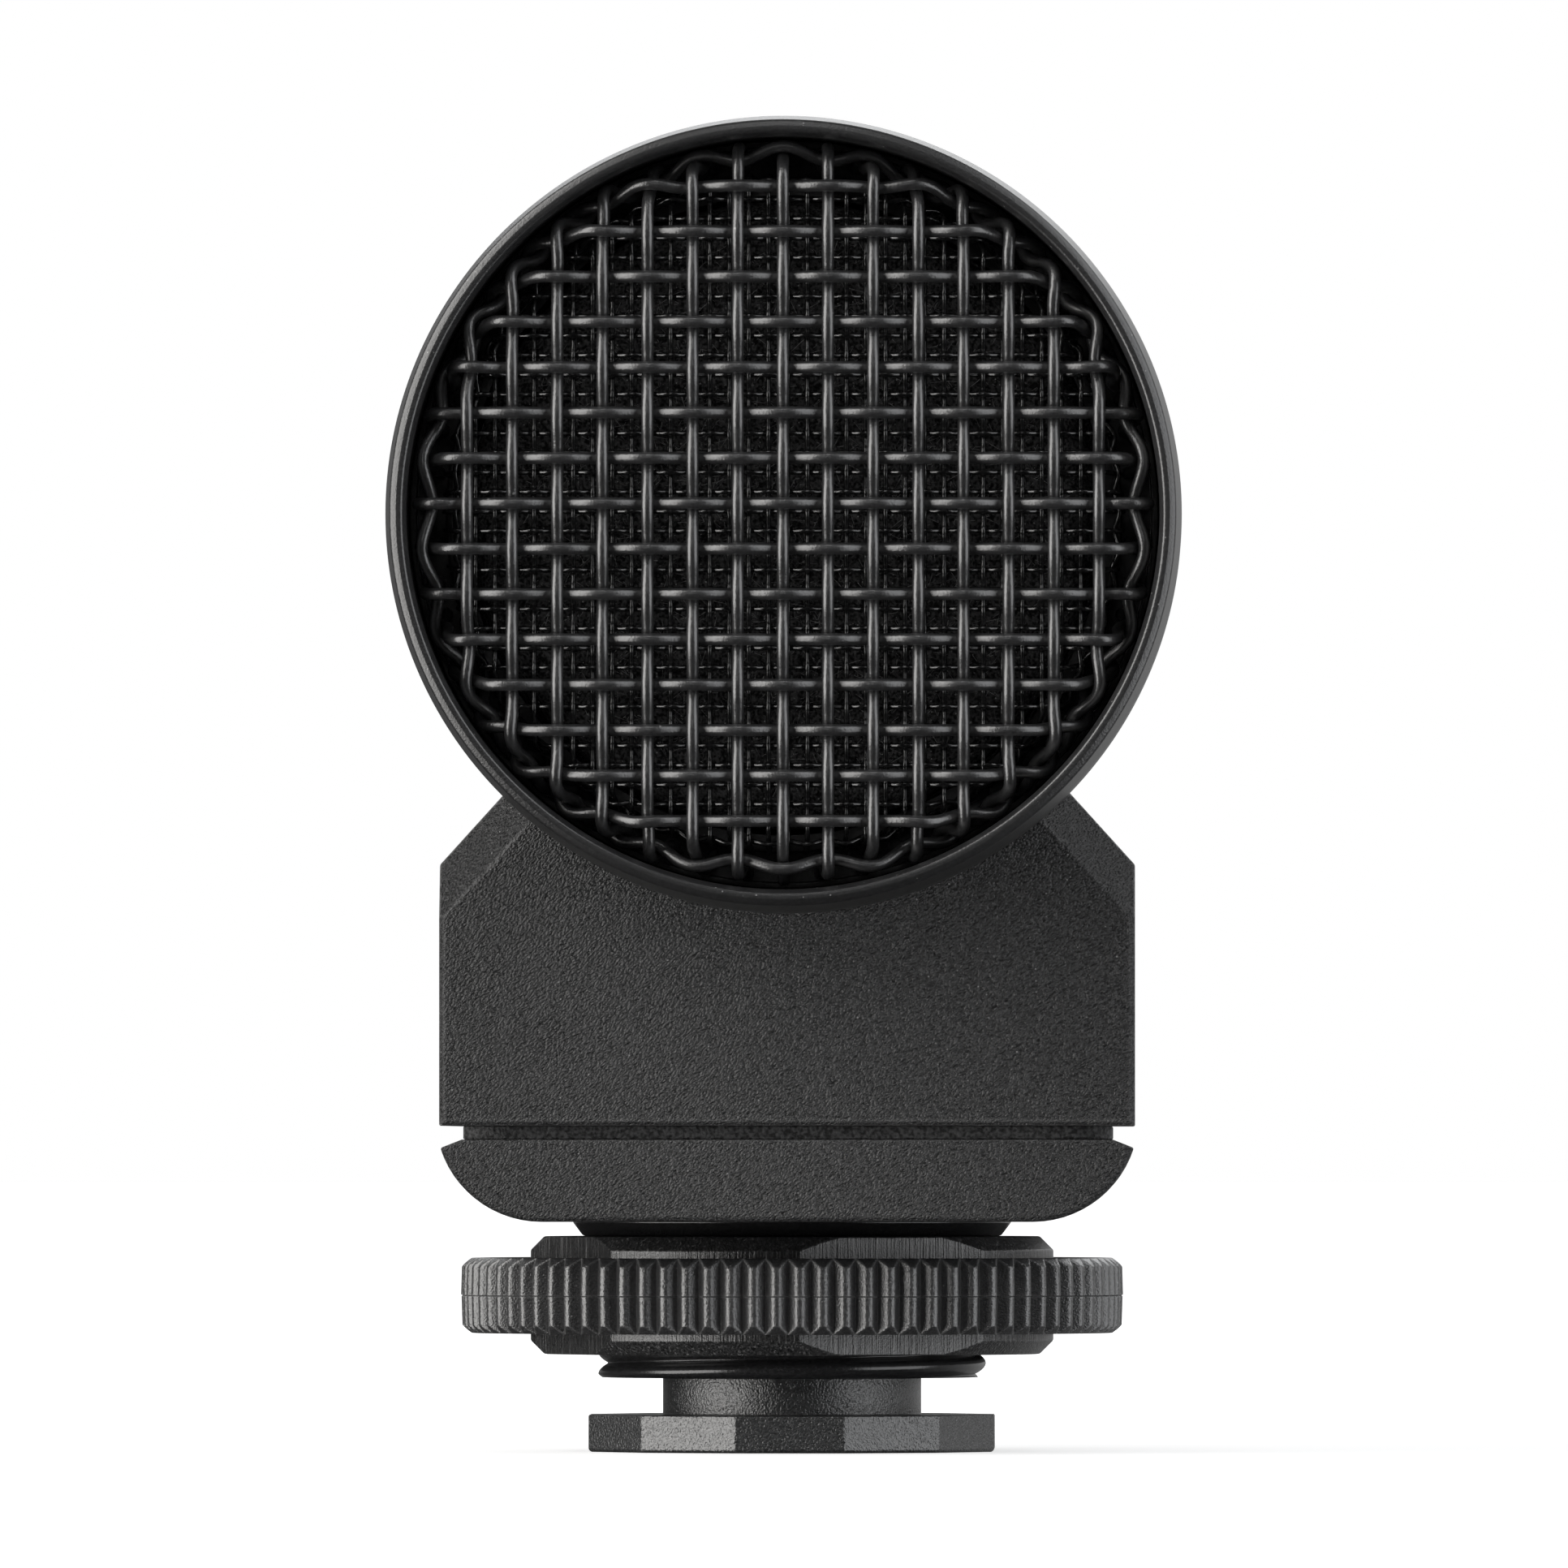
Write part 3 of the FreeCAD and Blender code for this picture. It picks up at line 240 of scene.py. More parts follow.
# Edge mark: pale where a normal rounded over a small width turns from the flat one, broken into noise patches. It
# stands for worn edges, and on the housing and base plate also for a painted highlight along the edges.
edge_wear_and_highlight_group, given, made = shared_effect("edge_wear_and_highlight", {"Width": 0.15, "Amount": 1.0}, ["Mask"])
patch_cell, edge_wear_and_highlight_gain = 1.2, 9.0
wide = math_node(edge_wear_and_highlight_group, "MULTIPLY", given["Width"], millimetre)
eased_normal = node(edge_wear_and_highlight_group, "ShaderNodeBevel", {"Radius": wide}, samples=4).outputs["Normal"]
flat_normal = node(edge_wear_and_highlight_group, "ShaderNodeNewGeometry").outputs["True Normal"]
same = node(edge_wear_and_highlight_group, "ShaderNodeVectorMath", {0: eased_normal, 1: flat_normal},
            operation="DOT_PRODUCT").outputs["Value"]
turned_away = math_node(edge_wear_and_highlight_group, "SUBTRACT", 1.0, same)
patches = node(edge_wear_and_highlight_group, "ShaderNodeTexNoise", {"Vector": texture_place(edge_wear_and_highlight_group, patch_cell),
                                                   "Scale": 1.0, "Detail": 3.0}).outputs["Fac"]
worn_and_lit = math_node(edge_wear_and_highlight_group, "MULTIPLY", turned_away, math_node(edge_wear_and_highlight_group, "MULTIPLY", patches, edge_wear_and_highlight_gain))
edge_wear_and_highlight_group.links.new(math_node(edge_wear_and_highlight_group, "MULTIPLY", worn_and_lit, given["Amount"], clamp=True), made["Mask"])


def finish(name, colour, roughness, specular=0.5, metallic=0.0, grain=None, specks=None, edges_worn_and_lit=None,
           pale=(0.2, 0.2, 0.2), tone_share=0.3, run=0.0):
    """A finish. Its grain holds a cell and a depth in mm, its specks a spacing in mm, a size and a share,
    and its edge mark a width in mm and an amount. Specks and the marked edges take the pale colour; the
    edges stand for rubbed edges, and on some finishes also for a painted highlight. Tone share is
    how far the colour follows the grain, and run how much the grain is drawn out."""
    material = bpy.data.materials.new(name)
    material.use_nodes = True
    tree = material.node_tree
    shader = tree.nodes["Principled BSDF"]
    shader.inputs["Roughness"].default_value = roughness
    shader.inputs["Specular IOR Level"].default_value = specular
    shader.inputs["Metallic"].default_value = metallic
    cell, depth = grain or (0.3, 0.004)
    group = node(tree, "ShaderNodeGroup", node_tree=grain_effect)
    group.inputs["Cell"].default_value = cell
    group.inputs["Run"].default_value = run
    bump = node(tree, "ShaderNodeBump", {"Height": group.outputs["Height"], "Strength": 1.0,
                                         "Distance": depth * millimetre})
    tree.links.new(bump.outputs["Normal"], shader.inputs["Normal"])
    lighter = tuple(value * (1 + tone_share) for value in colour) + (1,)
    darker = tuple(value * (1 - tone_share) for value in colour) + (1,)
    tone = node(tree, "ShaderNodeMix", {"Factor": group.outputs["Tone"], 6: darker, 7: lighter},
                data_type="RGBA")
    shown = tone.outputs[2]
    if specks:
        spots = node(tree, "ShaderNodeGroup", node_tree=speck_effect)
        for socket, value in zip(("Spacing", "Size", "Share"), specks):
            spots.inputs[socket].default_value = value
        shown = node(tree, "ShaderNodeMix", {"Factor": spots.outputs["Mask"], 6: shown, 7: (*pale, 1)},
                     data_type="RGBA").outputs[2]
    if edges_worn_and_lit:
        edges = node(tree, "ShaderNodeGroup", node_tree=edge_wear_and_highlight_group)
        for socket, value in zip(("Width", "Amount"), edges_worn_and_lit):
            edges.inputs[socket].default_value = value
        shown = node(tree, "ShaderNodeMix", {"Factor": edges.outputs["Mask"], 6: shown, 7: (*pale, 1)},
                     data_type="RGBA").outputs[2]
    tree.links.new(shown, shader.inputs["Base Color"])
    return material


def dressed(name, material, easing=0.0):
    """A piece of the frame in its finish, with its edges eased by a width in mm."""
    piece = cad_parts[name]
    mesh = piece.data
    if "custom_normal" in mesh.attributes:
        mesh.attributes.remove(mesh.attributes["custom_normal"])
    mesh.materials.clear()
    mesh.materials.append(material)
    mesh.polygons.foreach_set("material_index", [0] * len(mesh.polygons))
    mesh.polygons.foreach_set("use_smooth", [True] * len(mesh.polygons))
    piece.modifiers.new("joined", "WELD").merge_threshold = 0.001 * millimetre
    flats = piece.modifiers.new("flats", "DECIMATE")
    flats.decimate_type = "DISSOLVE"
    flats.angle_limit = math.radians(0.6)
    eased = piece.modifiers.new("eased", "BEVEL")
    eased.width = easing * millimetre
    eased.segments = 3
    eased.limit_method = "ANGLE"
    eased.angle_limit = math.radians(22)
    eased.use_clamp_overlap = False
    eased.miter_outer = "MITER_ARC"
    piece.modifiers.new("steady", "WEIGHTED_NORMAL").keep_sharp = True
    return piece


foot_finish = finish("cast_foot", (0.013, 0.0135, 0.014), 0.3, 1.0, grain=(0.12, 0.045),
                     specks=(0.5, 0.09, 0.12), edges_worn_and_lit=(0.12, 0.5), pale=(0.12, 0.12, 0.12), tone_share=0.5)
dressed("shoe_foot", foot_finish, 0.06)


# Screws. Black oxide steel: the large one in the foot's underside has a blade slot, the four
# under the base plate and the four in the rear cover have a six-sided socket, and three more
# hold the stem from inside, where nobody sees them.
most_trim_share = 0.48


def rounded(corners, steps=4):
    """A closed outline whose corners, of two places and a rounding, are turned into short arcs."""
    points = []
    count = len(corners)
    for number in range(count):
        before, here, after = (np.array(corners[(number + shift) % count][:2], float) for shift in (-1, 0, 1))
        rounding = corners[number][2] if len(corners[number]) > 2 else 0
        if not rounding:
            points.append(tuple(here))
            continue
        back, onward = before - here, after - here
        back_length, onward_length = np.linalg.norm(back), np.linalg.norm(onward)
        back, onward = back / back_length, onward / onward_length
        half = math.acos(float(np.clip(back @ onward, -1, 1))) / 2
        trim = min(rounding / math.tan(half), most_trim_share * back_length, most_trim_share * onward_length)
        for step in range(steps + 1):
            share = step / steps
            points.append(tuple((1 - share) ** 2 * (here + back * trim) + 2 * share * (1 - share) * here
                                + share ** 2 * (here + onward * trim)))
    return points


def turned(outline, sides, centre=(0, 0, 0), upright=True):
    """The points of an outline of radii and places turned about an upright or a level axis."""
    turns = 2 * np.pi * np.arange(sides) / sides
    rows = []
    for radius, along in outline:
        first, second = radius * np.cos(turns), radius * np.sin(turns)
        third = np.full(sides, along, float)
        row = (first, second, third) if upright else (first, third, second)
        rows.append(np.stack(row, 1) + np.array(centre, float))
    return np.concatenate(rows)


def lattice(rows, columns, closed=True):
    """The faces between rows of points, each row a ring. Closed, the last row meets the first one,
    and open, each end gets a face."""
    faces = []
    for row in range(rows if closed else rows - 1):
        onward = (row + 1) % rows
        for column in range(columns):
            beside = (column + 1) % columns
            faces.append((row * columns + column, row * columns + beside,
                          onward * columns + beside, onward * columns + column))
    if not closed:
        faces.append(tuple(range(columns)))
        faces.append(tuple(range((rows - 1) * columns, rows * columns)))
    return faces


def joined(blocks):
    """Several blocks of points and faces as one."""
    points, faces, start = [], [], 0
    for block, block_faces in blocks:
        points.append(block)
        faces += [tuple(start + corner for corner in face) for face in block_faces]
        start += len(block)
    return np.concatenate(points), faces


def piece_of(name, points, faces, material, steady=True):
    """A closed mesh from points in mm, with its faces turned outwards, in its finish."""
    mesh = bpy.data.meshes.new(name)
    mesh.from_pydata((np.asarray(points, float) * millimetre).tolist(), [], faces)
    shape = bmesh.new()
    shape.from_mesh(mesh)
    bmesh.ops.recalc_face_normals(shape, faces=shape.faces)
    shape.to_mesh(mesh)
    shape.free()
    mesh.polygons.foreach_set("use_smooth", [True] * len(mesh.polygons))
    mesh.materials.append(material)
    piece = bpy.data.objects.new(name, mesh)
    bpy.context.scene.collection.objects.link(piece)
    if steady:
        piece.modifiers.new("steady", "WEIGHTED_NORMAL").keep_sharp = True
    return piece


blade_width_share = 0.14
least_divisor = 0.01


def recessed_head(outline, corners, recess_reach, depth, centre, upright, sides=48):
    """A screw's points and faces: its outline turned, with a recess in its last end, which is a slot
    for a blade if it has two corners."""
    turns = 2 * np.pi * np.arange(sides) / sides
    if corners == 2:
        half_width = blade_width_share * recess_reach
        reach = np.minimum(recess_reach / np.maximum(np.abs(np.cos(turns)), least_divisor),
                           half_width / np.maximum(np.abs(np.sin(turns)), least_divisor))
    else:
        slice_turn = 2 * np.pi / corners
        reach = recess_reach / np.cos((turns + slice_turn / 2) % slice_turn - slice_turn / 2)
    points = turned(outline, sides, (0, 0, 0), True)
    end = outline[-1][1]
    inward = math.copysign(1, outline[0][1] - end)
    for level in (end, end + inward * depth):
        points = np.concatenate([points, np.stack([reach * np.cos(turns), reach * np.sin(turns),
                                                   np.full(sides, level)], 1)])
    if not upright:
        points = points[:, [0, 2, 1]]
    return points + np.array(centre, float), lattice(len(outline) + 2, sides, closed=False)


head_edge, head_edge_middle = 0.12, 0.04


def screw_group(name, places, head_radius, shank_radius, head_levels, length, corners, recess_reach,
                recess_depth, upright):
    """Like screws in one piece. The head's levels run from its seat to its outer end."""
    seat, end = head_levels
    outward = math.copysign(1, end - seat)
    outline = [(shank_radius, seat - outward * length), (shank_radius, seat), (head_radius, seat),
               (head_radius, end - outward * head_edge),
               (head_radius - head_edge_middle, end - outward * head_edge_middle), (head_radius - head_edge, end)]
    blocks = []
    for first, second in places:
        centre = (first, second, 0) if upright else (first, 0, second)
        blocks.append(recessed_head(outline, corners, recess_reach, recess_depth, centre, upright))
    piece = piece_of(name, *joined(blocks), oxide_finish)
    piece.modifiers.new("edges", "EDGE_SPLIT").split_angle = math.radians(50)
    return piece


oxide_finish = finish("black_oxide_steel", (0.1, 0.1, 0.105), 0.36, 0.5, 0.85, grain=(0.12, 0.004),
                      edges_worn_and_lit=(0.08, 0.6), pale=(0.32, 0.32, 0.32))
foot_screw = screw_group("foot_screw_turned", [(0, 0)], head_radius=3.0, shank_radius=1.5,
                         head_levels=(1.25, 0.15), length=6.4, corners=2, recess_reach=2.35,
                         recess_depth=0.5, upright=True)
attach(foot_screw, "housing")
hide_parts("foot_screw")
base_screw_places = [(side * 9.5, along) for side in (-1, 1) for along in (-14.0, 27.5)]
base_screws = screw_group("base_screws_turned", base_screw_places, head_radius=1.9, shank_radius=0.9,
                          head_levels=(11.98, 10.78), length=6.1, corners=6, recess_reach=0.85,
                          recess_depth=0.8, upright=True)
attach(base_screws, "housing")
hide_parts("base_screws")
cover_screw_places = [(side * across, height) for side in (-1, 1)
                      for across, height in ((12.85, 24.36), (8.09, 53.9))]
cover_screws = screw_group("cover_screws_turned", cover_screw_places, head_radius=1.6, shank_radius=0.85,
                           head_levels=(33.4, 34.5), length=5.9, corners=6, recess_reach=0.7,
                           recess_depth=0.7, upright=False)
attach(cover_screws, "housing")
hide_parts("rear_cover_screws")
dressed("stem_screws", oxide_finish, 0.05)


# Threaded stem. A moulded post of hard glossy nylon with a rounded thread, right-handed with a
# turn each millimetre, and a thin flange at its top that the base plate stands on.
stem_low, stem_high, flange_low, flange_high = 3.4, 9.9, 9.9, 10.58
crest_radius, thread_depth, thread_pitch, thread_start = 8.9, 0.5, 1.0, 4.06
crest_fullness = 0.8
entry_height, entry_depth = 0.16, 0.14
stem_sides, stem_levels = 160, 124
stem_bore = 1.55
turns = 2 * np.pi * np.arange(stem_sides) / stem_sides
levels = np.linspace(stem_low, stem_high - 0.02, stem_levels)
rows = []
for height in levels:
    phase = ((height - thread_start) / thread_pitch - turns / (2 * np.pi) + 0.5) % 1 - 0.5
    crest = np.cos(np.pi * phase) ** crest_fullness
    entry = min(1.0, (height - stem_low) / entry_height)
    radius = crest_radius - thread_depth * (1 - crest) - entry_depth * (1 - entry)
    rows.append(np.stack([radius * np.cos(turns), radius * np.sin(turns), np.full(stem_sides, height)], 1))
flange = rounded([(crest_radius - 0.3, flange_low), (9.6, flange_low, 0.2), (10.05, flange_high - 0.08, 0.1),
                  (10.05, flange_high), (stem_bore, flange_high)])
points = np.concatenate(rows + [turned(flange, stem_sides), turned([(stem_bore, stem_low)], stem_sides)])
stem_finish = finish("glossy_nylon", (0.012, 0.012, 0.0125), 0.24, 0.55, grain=(0.16, 0.006))
stem = piece_of("stem_thread", points, lattice(len(points) // stem_sides, stem_sides), stem_finish)
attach(stem, "housing")
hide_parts("threaded_stem")


# Slip washer. A thin black nylon ring pressed into the underside of the nut, which rests on the
# shoe and lets the nut turn.
washer_finish = finish("washer_nylon", (0.03, 0.03, 0.03), 0.45, 0.4, grain=(0.2, 0.006))
washer_bore, washer_radius, washer_low, washer_high = 9.0, 10.68, 4.47, 5.07
washer_sides = 96
washer = rounded([(washer_bore, washer_low, 0.08), (washer_radius, washer_low, 0.08),
                  (washer_radius, washer_high, 0.05), (washer_bore, washer_high, 0.05)])
slip_washer = piece_of("slip_washer_turned", turned(washer, washer_sides), lattice(len(washer), washer_sides),
                       washer_finish)
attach(slip_washer, "slip_washer")
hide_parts("slip_washer")


# Lock nut. A satin black ring with four flats and bevelled rims, turned on a lathe and then
# milled, so that fine upright brush marks run over its flats.
brush_effect, given, made = shared_effect("brush_marks", {"Spacing": 0.08}, ["Height", "Streak"])
streak_stretch = (1, 1, 0.035)
streak_start, streak_end = 0.56, 0.74
place = texture_place(brush_effect, given["Spacing"], streak_stretch)
streaks = node(brush_effect, "ShaderNodeTexNoise", {"Vector": place, "Scale": 1.0, "Detail": 2.0}).outputs["Fac"]
brush_effect.links.new(streaks, made["Height"])
deepest = node(brush_effect, "ShaderNodeMapRange", {"Value": streaks, "From Min": streak_start,
                                                    "From Max": streak_end}).outputs["Result"]
brush_effect.links.new(deepest, made["Streak"])


def brushed(material, spacing, depth, pale):
    """Adds upright brush marks to a finish, with a spacing and a depth in mm. The strongest streaks take
    the pale colour."""
    tree = material.node_tree
    shader = tree.nodes["Principled BSDF"]
    bump = shader.inputs["Normal"].links[0].from_node
    marks = node(tree, "ShaderNodeGroup", node_tree=brush_effect)
    marks.inputs["Spacing"].default_value = spacing
    lines = node(tree, "ShaderNodeBump", {"Height": marks.outputs["Height"], "Strength": 1.0,
                                          "Distance": depth * millimetre, "Normal": bump.outputs["Normal"]})
    tree.links.new(lines.outputs["Normal"], shader.inputs["Normal"])
    before = shader.inputs["Base Color"].links[0].from_socket
    tint = node(tree, "ShaderNodeMix", {"Factor": marks.outputs["Streak"], 6: before, 7: (*pale, 1)},
                data_type="RGBA")
    tree.links.new(tint.outputs[2], shader.inputs["Base Color"])


nut_finish = finish("satin_nut", (0.016, 0.016, 0.0163), 0.32, 0.8, grain=(0.1, 0.014), edges_worn_and_lit=(0.1, 0.3),
                    pale=(0.09, 0.09, 0.09), tone_share=0.8)
brushed(nut_finish, spacing=0.1, depth=0.035, pale=(0.12, 0.12, 0.12))
dressed("lock_nut", nut_finish, 0.07)


# Knurled grip. A ring moulded in two halves round the nut's flats, with ninety upright V grooves
# that run out in its bevels, so that each land ends in a point. The halves meet at a fine line.
teeth, tooth_steps = 90, 12
grip_low, grip_high, grip_radius = 5.44, 8.89, 15.2
groove_depth, land_share, grip_bevel, draft = 0.45, 0.26, 0.5, 0.05
seam_half, seam_margin, seam_depth, lower_half_step = 0.035, 0.06, 0.08, 0.02
bevel_margin, bevel_fullness = 0.7, 1.5
hole_radius, flat_distance, flat_turn = 12.03, 11.12, math.radians(24.7)
columns = teeth * tooth_steps
turns = 2 * np.pi * np.arange(columns) / columns
across_tooth = np.abs((turns * teeth / (2 * np.pi) + 0.5) % 1 - 0.5) * 2
groove = np.clip((across_tooth - land_share) / (1 - land_share), 0, 1) * groove_depth
middle = (grip_low + grip_high) / 2
bevel_steps = np.linspace(0, 1, 11) * grip_bevel * 1.1
levels = np.concatenate([grip_low + bevel_steps, np.linspace(grip_low + bevel_margin, middle - seam_margin, 5),
                         [middle - seam_half, middle, middle + seam_half],
                         np.linspace(middle + seam_margin, grip_high - bevel_margin, 5),
                         grip_high - bevel_steps[::-1]])
rows = []
for height in levels:
    edge = min(height - grip_low, grip_high - height)
    side = grip_radius - draft * abs(height - middle) / (middle - grip_low)
    side -= seam_depth if abs(height - middle) < 0.001 else 0
    side -= lower_half_step if height < middle else 0
    soft_cut = grip_radius - grip_bevel * (1 - min(edge / grip_bevel, 1)) ** bevel_fullness
    radius = np.minimum(side - groove, soft_cut)
    rows.append(np.stack([radius * np.cos(turns), radius * np.sin(turns), np.full(columns, height)], 1))
from_flat = (turns - flat_turn + np.pi / 4) % (np.pi / 2) - np.pi / 4
hole = np.minimum(hole_radius, flat_distance / np.cos(from_flat))
for height in (grip_high, grip_low):
    rows.append(np.stack([hole * np.cos(turns), hole * np.sin(turns), np.full(columns, height)], 1))
grip_finish = finish("moulded_grip", (0.018, 0.018, 0.0185), 0.34, 1.0, grain=(0.1, 0.024),
                     specks=(0.22, 0.16, 0.1), edges_worn_and_lit=(0.1, 0.55), pale=(0.13, 0.13, 0.13), tone_share=0.45)
grip = piece_of("grip_ring", np.concatenate(rows), lattice(len(rows), columns), grip_finish, steady=False)
grip.modifiers.new("edges", "EDGE_SPLIT").split_angle = math.radians(35)
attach(grip, "lock_ring")
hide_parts("knurled_grip")


# Base plate. A boat-shaped moulding in black plastic that carries the stem, with the fine
# leathery grain of a spark-eroded mould.
body_colour = (0.0125, 0.0125, 0.0128)
body_grain, body_run, body_tone = (0.1, 0.15), 0.5, 0.95
# Painted light in this finish: the pale specks are painted glints, and the strong edge mark adds a painted
# highlight along the edges besides some wear.
base_finish = finish("base_grain", body_colour, 0.33, 0.42, grain=body_grain, specks=(0.45, 0.09, 0.3),
                     edges_worn_and_lit=(0.12, 1.5), pale=(0.11, 0.11, 0.11), tone_share=body_tone, run=body_run)
dressed("base_plate", base_finish, 0.1)


# Gasket. A soft black rubber strip between the base plate and the housing, set back so that it
# leaves a dark groove all round.
gasket_finish = finish("gasket_rubber", (0.042, 0.042, 0.0425), 0.6, 0.35, grain=(0.2, 0.1), tone_share=0.7)
dressed("base_gasket", gasket_finish, 0.08)


# Main housing. One black plastic moulding: a round barrel with sound slots on a block with
# sloping shoulders, in the same leathery grain as the base plate.
# Painted light in this finish, also on the rear cover: the pale specks are painted glints, and the edge mark, set
# far stronger than on other finishes, adds a painted highlight along the edges besides some wear.
housing_finish = finish("housing_grain", body_colour, 0.33, 0.42, grain=body_grain, specks=(0.45, 0.09, 0.3),
                        edges_worn_and_lit=(0.18, 3.0), pale=(0.13, 0.13, 0.13), tone_share=body_tone, run=body_run)
dressed("main_housing", housing_finish, 0.08)
dressed("rear_cover", housing_finish, 0.1)


# Front bezel. A turned aluminium ring, black satin, that tapers to a thin rounded lip. Its bore is
# as dark as the inside of a lens hood.
axis_height = 42.35
bezel_sides = 256
bezel = rounded([(17.6, -34.36, 0.25), (17.85, -31.5, 0.5), (17.85, -23.5, 0.12), (15.3, -23.5, 0.05),
                 (15.3, -20.5, 0.1), (14.36, -20.5, 0.1), (14.36, -28.57, 0.05), (16.85, -28.57, 0.05),
                 (16.85, -34.05, 0.3), (17.05, -34.5, 0.25), (17.3, -34.5, 0.12)], 6)
bezel_finish = finish("satin_bezel", (0.008, 0.008, 0.0084), 0.34, 0.8, grain=(0.12, 0.01),
                      specks=(0.3, 0.13, 0.12), edges_worn_and_lit=(0.12, 0.3), pale=(0.12, 0.12, 0.12))
bezel_ring = piece_of("bezel_ring", turned(bezel, bezel_sides, (0, 0, axis_height), False),
                      lattice(len(bezel), bezel_sides), bezel_finish)
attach(bezel_ring, "housing")
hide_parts("front_bezel")


# Grille rim. A channel folded from thin steel, painted black, which grips the cut ends of the
# mesh and sits deep in the bezel.
rim_sides = 160
rim = rounded([(16.8, -29.74, 0.08), (16.8, -28.57, 0.1), (14.86, -28.57, 0.1), (14.86, -29.74, 0.08),
               (15.14, -29.74, 0.08), (15.14, -28.85, 0.1), (16.52, -28.85, 0.1), (16.52, -29.74, 0.08)])
rim_finish = finish("painted_rim", (0.012, 0.012, 0.012), 0.45, 0.4, grain=(0.2, 0.006))
rim_channel = piece_of("rim_channel", turned(rim, rim_sides, (0, 0, axis_height), False),
                       lattice(len(rim), rim_sides), rim_finish)
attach(rim_channel, "housing")
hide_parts("grille_rim")


# Woven mesh of the grille. Round steel wires in a plain weave, crimped over and under each other,
# pressed into a shallow dome with a tight shoulder and powder-coated semi-gloss black.
def dome(apex, crown, shoulder, wall, taper=0.0):
    """A way to lay a flat mesh over a dome: a shallow crown, a round shoulder and a skirt, which may
    narrow a little towards its end."""
    inner = wall - shoulder
    crown_turn = math.asin(inner / (crown - shoulder))
    crown_reach = crown * crown_turn
    shoulder_reach = crown_reach + shoulder * (math.pi / 2 - crown_turn)
    skirt = apex + crown - (crown - shoulder) * math.cos(crown_turn)

    def lay(across, up):
        reach = np.maximum(np.hypot(across, up), 1e-9)
        turn = np.where(reach <= crown_reach, reach / crown,
                        np.minimum(crown_turn + (reach - crown_reach) / shoulder, math.pi / 2))
        down = np.maximum(reach - shoulder_reach, 0)
        radius = np.where(reach <= crown_reach, crown * np.sin(turn), inner + shoulder * np.sin(turn))
        radius = radius - taper * down
        along = np.where(reach <= crown_reach, apex + crown * (1 - np.cos(turn)),
                         skirt - shoulder * np.cos(turn)) + down
        sideways, upwards = across / reach, up / reach
        points = np.stack([radius * sideways, along, axis_height + radius * upwards], 1)
        normals = np.stack([np.sin(turn) * sideways, -np.cos(turn), np.sin(turn) * upwards], 1)
        return points, normals

    return lay


most_wires = 60


def woven(lay, upright, own, cross, ends, wire, crimp, first_in_front, steps=12, sides=10):
    """The points and faces of all wires of one direction. Own and cross hold a pitch and a shift in mm,
    and ends gives where a wire at some offset starts and ends."""
    blocks = []
    own_pitch, own_shift = own
    cross_pitch, cross_shift = cross
    around = 2 * np.pi * np.arange(sides) / sides
    for number in range(-most_wires, most_wires + 1):
        offset = own_shift + own_pitch * number
        limits = ends(offset)
        if limits is None:
            continue
        low, high = limits
        count = max(int((high - low) / cross_pitch * steps), 2)
        along = np.linspace(low, high, count + 1)
        wave = np.cos(np.pi * (along - cross_shift) / cross_pitch)
        lift = crimp * wave * (1 if (number % 2 == 0) != first_in_front else -1)
        flat = (np.full(count + 1, offset), along) if upright else (along, np.full(count + 1, offset))
        middle, outward = lay(*flat)
        middle = middle + outward * lift[:, None]
        run = np.gradient(middle, axis=0)
        run /= np.linalg.norm(run, axis=1)[:, None]
        outward = outward - run * (outward * run).sum(1)[:, None]
        outward /= np.linalg.norm(outward, axis=1)[:, None]
        beside = np.cross(run, outward)
        rings = middle[:, None] + wire / 2 * (np.cos(around)[None, :, None] * outward[:, None]
                                              + np.sin(around)[None, :, None] * beside[:, None])
        blocks.append((rings.reshape(-1, 3), lattice(count + 1, sides, closed=False)))
    return joined(blocks)


def round_cut(reach, last):
    """Gives where a wire of a round sheet starts and ends. No wire lies further out than the last."""
    def ends(offset):
        if abs(offset) >= last:
            return None
        half = math.sqrt(reach ** 2 - offset ** 2)
        return -half, half

    return ends


mesh_lay = dome(apex=-33.8, crown=500.0, shoulder=1.35, wall=16.2, taper=0.12)
mesh_ends = round_cut(reach=20.16, last=17.11)
mesh_wire, mesh_crimp = 0.56, 0.29
wire_finish = finish("powder_coated_wire", (0.014, 0.014, 0.0145), 0.3, 1.0, grain=(0.1, 0.009),
                     specks=(1.1, 0.05, 0.1), pale=(0.12, 0.12, 0.12))
upright_mesh, level_mesh = (2.02, 0.0), (2.03, 0.42)
uprights = piece_of("uprights_of_mesh", *woven(mesh_lay, True, upright_mesh, level_mesh, mesh_ends, mesh_wire,
                                               mesh_crimp, first_in_front=True), wire_finish, steady=False)
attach(uprights, "housing")
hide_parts("grille_uprights")
levels_piece = piece_of("levels_of_mesh", *woven(mesh_lay, False, level_mesh, upright_mesh, mesh_ends, mesh_wire,
                                                 mesh_crimp, first_in_front=False), wire_finish, steady=False)
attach(levels_piece, "housing")
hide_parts("grille_levels")


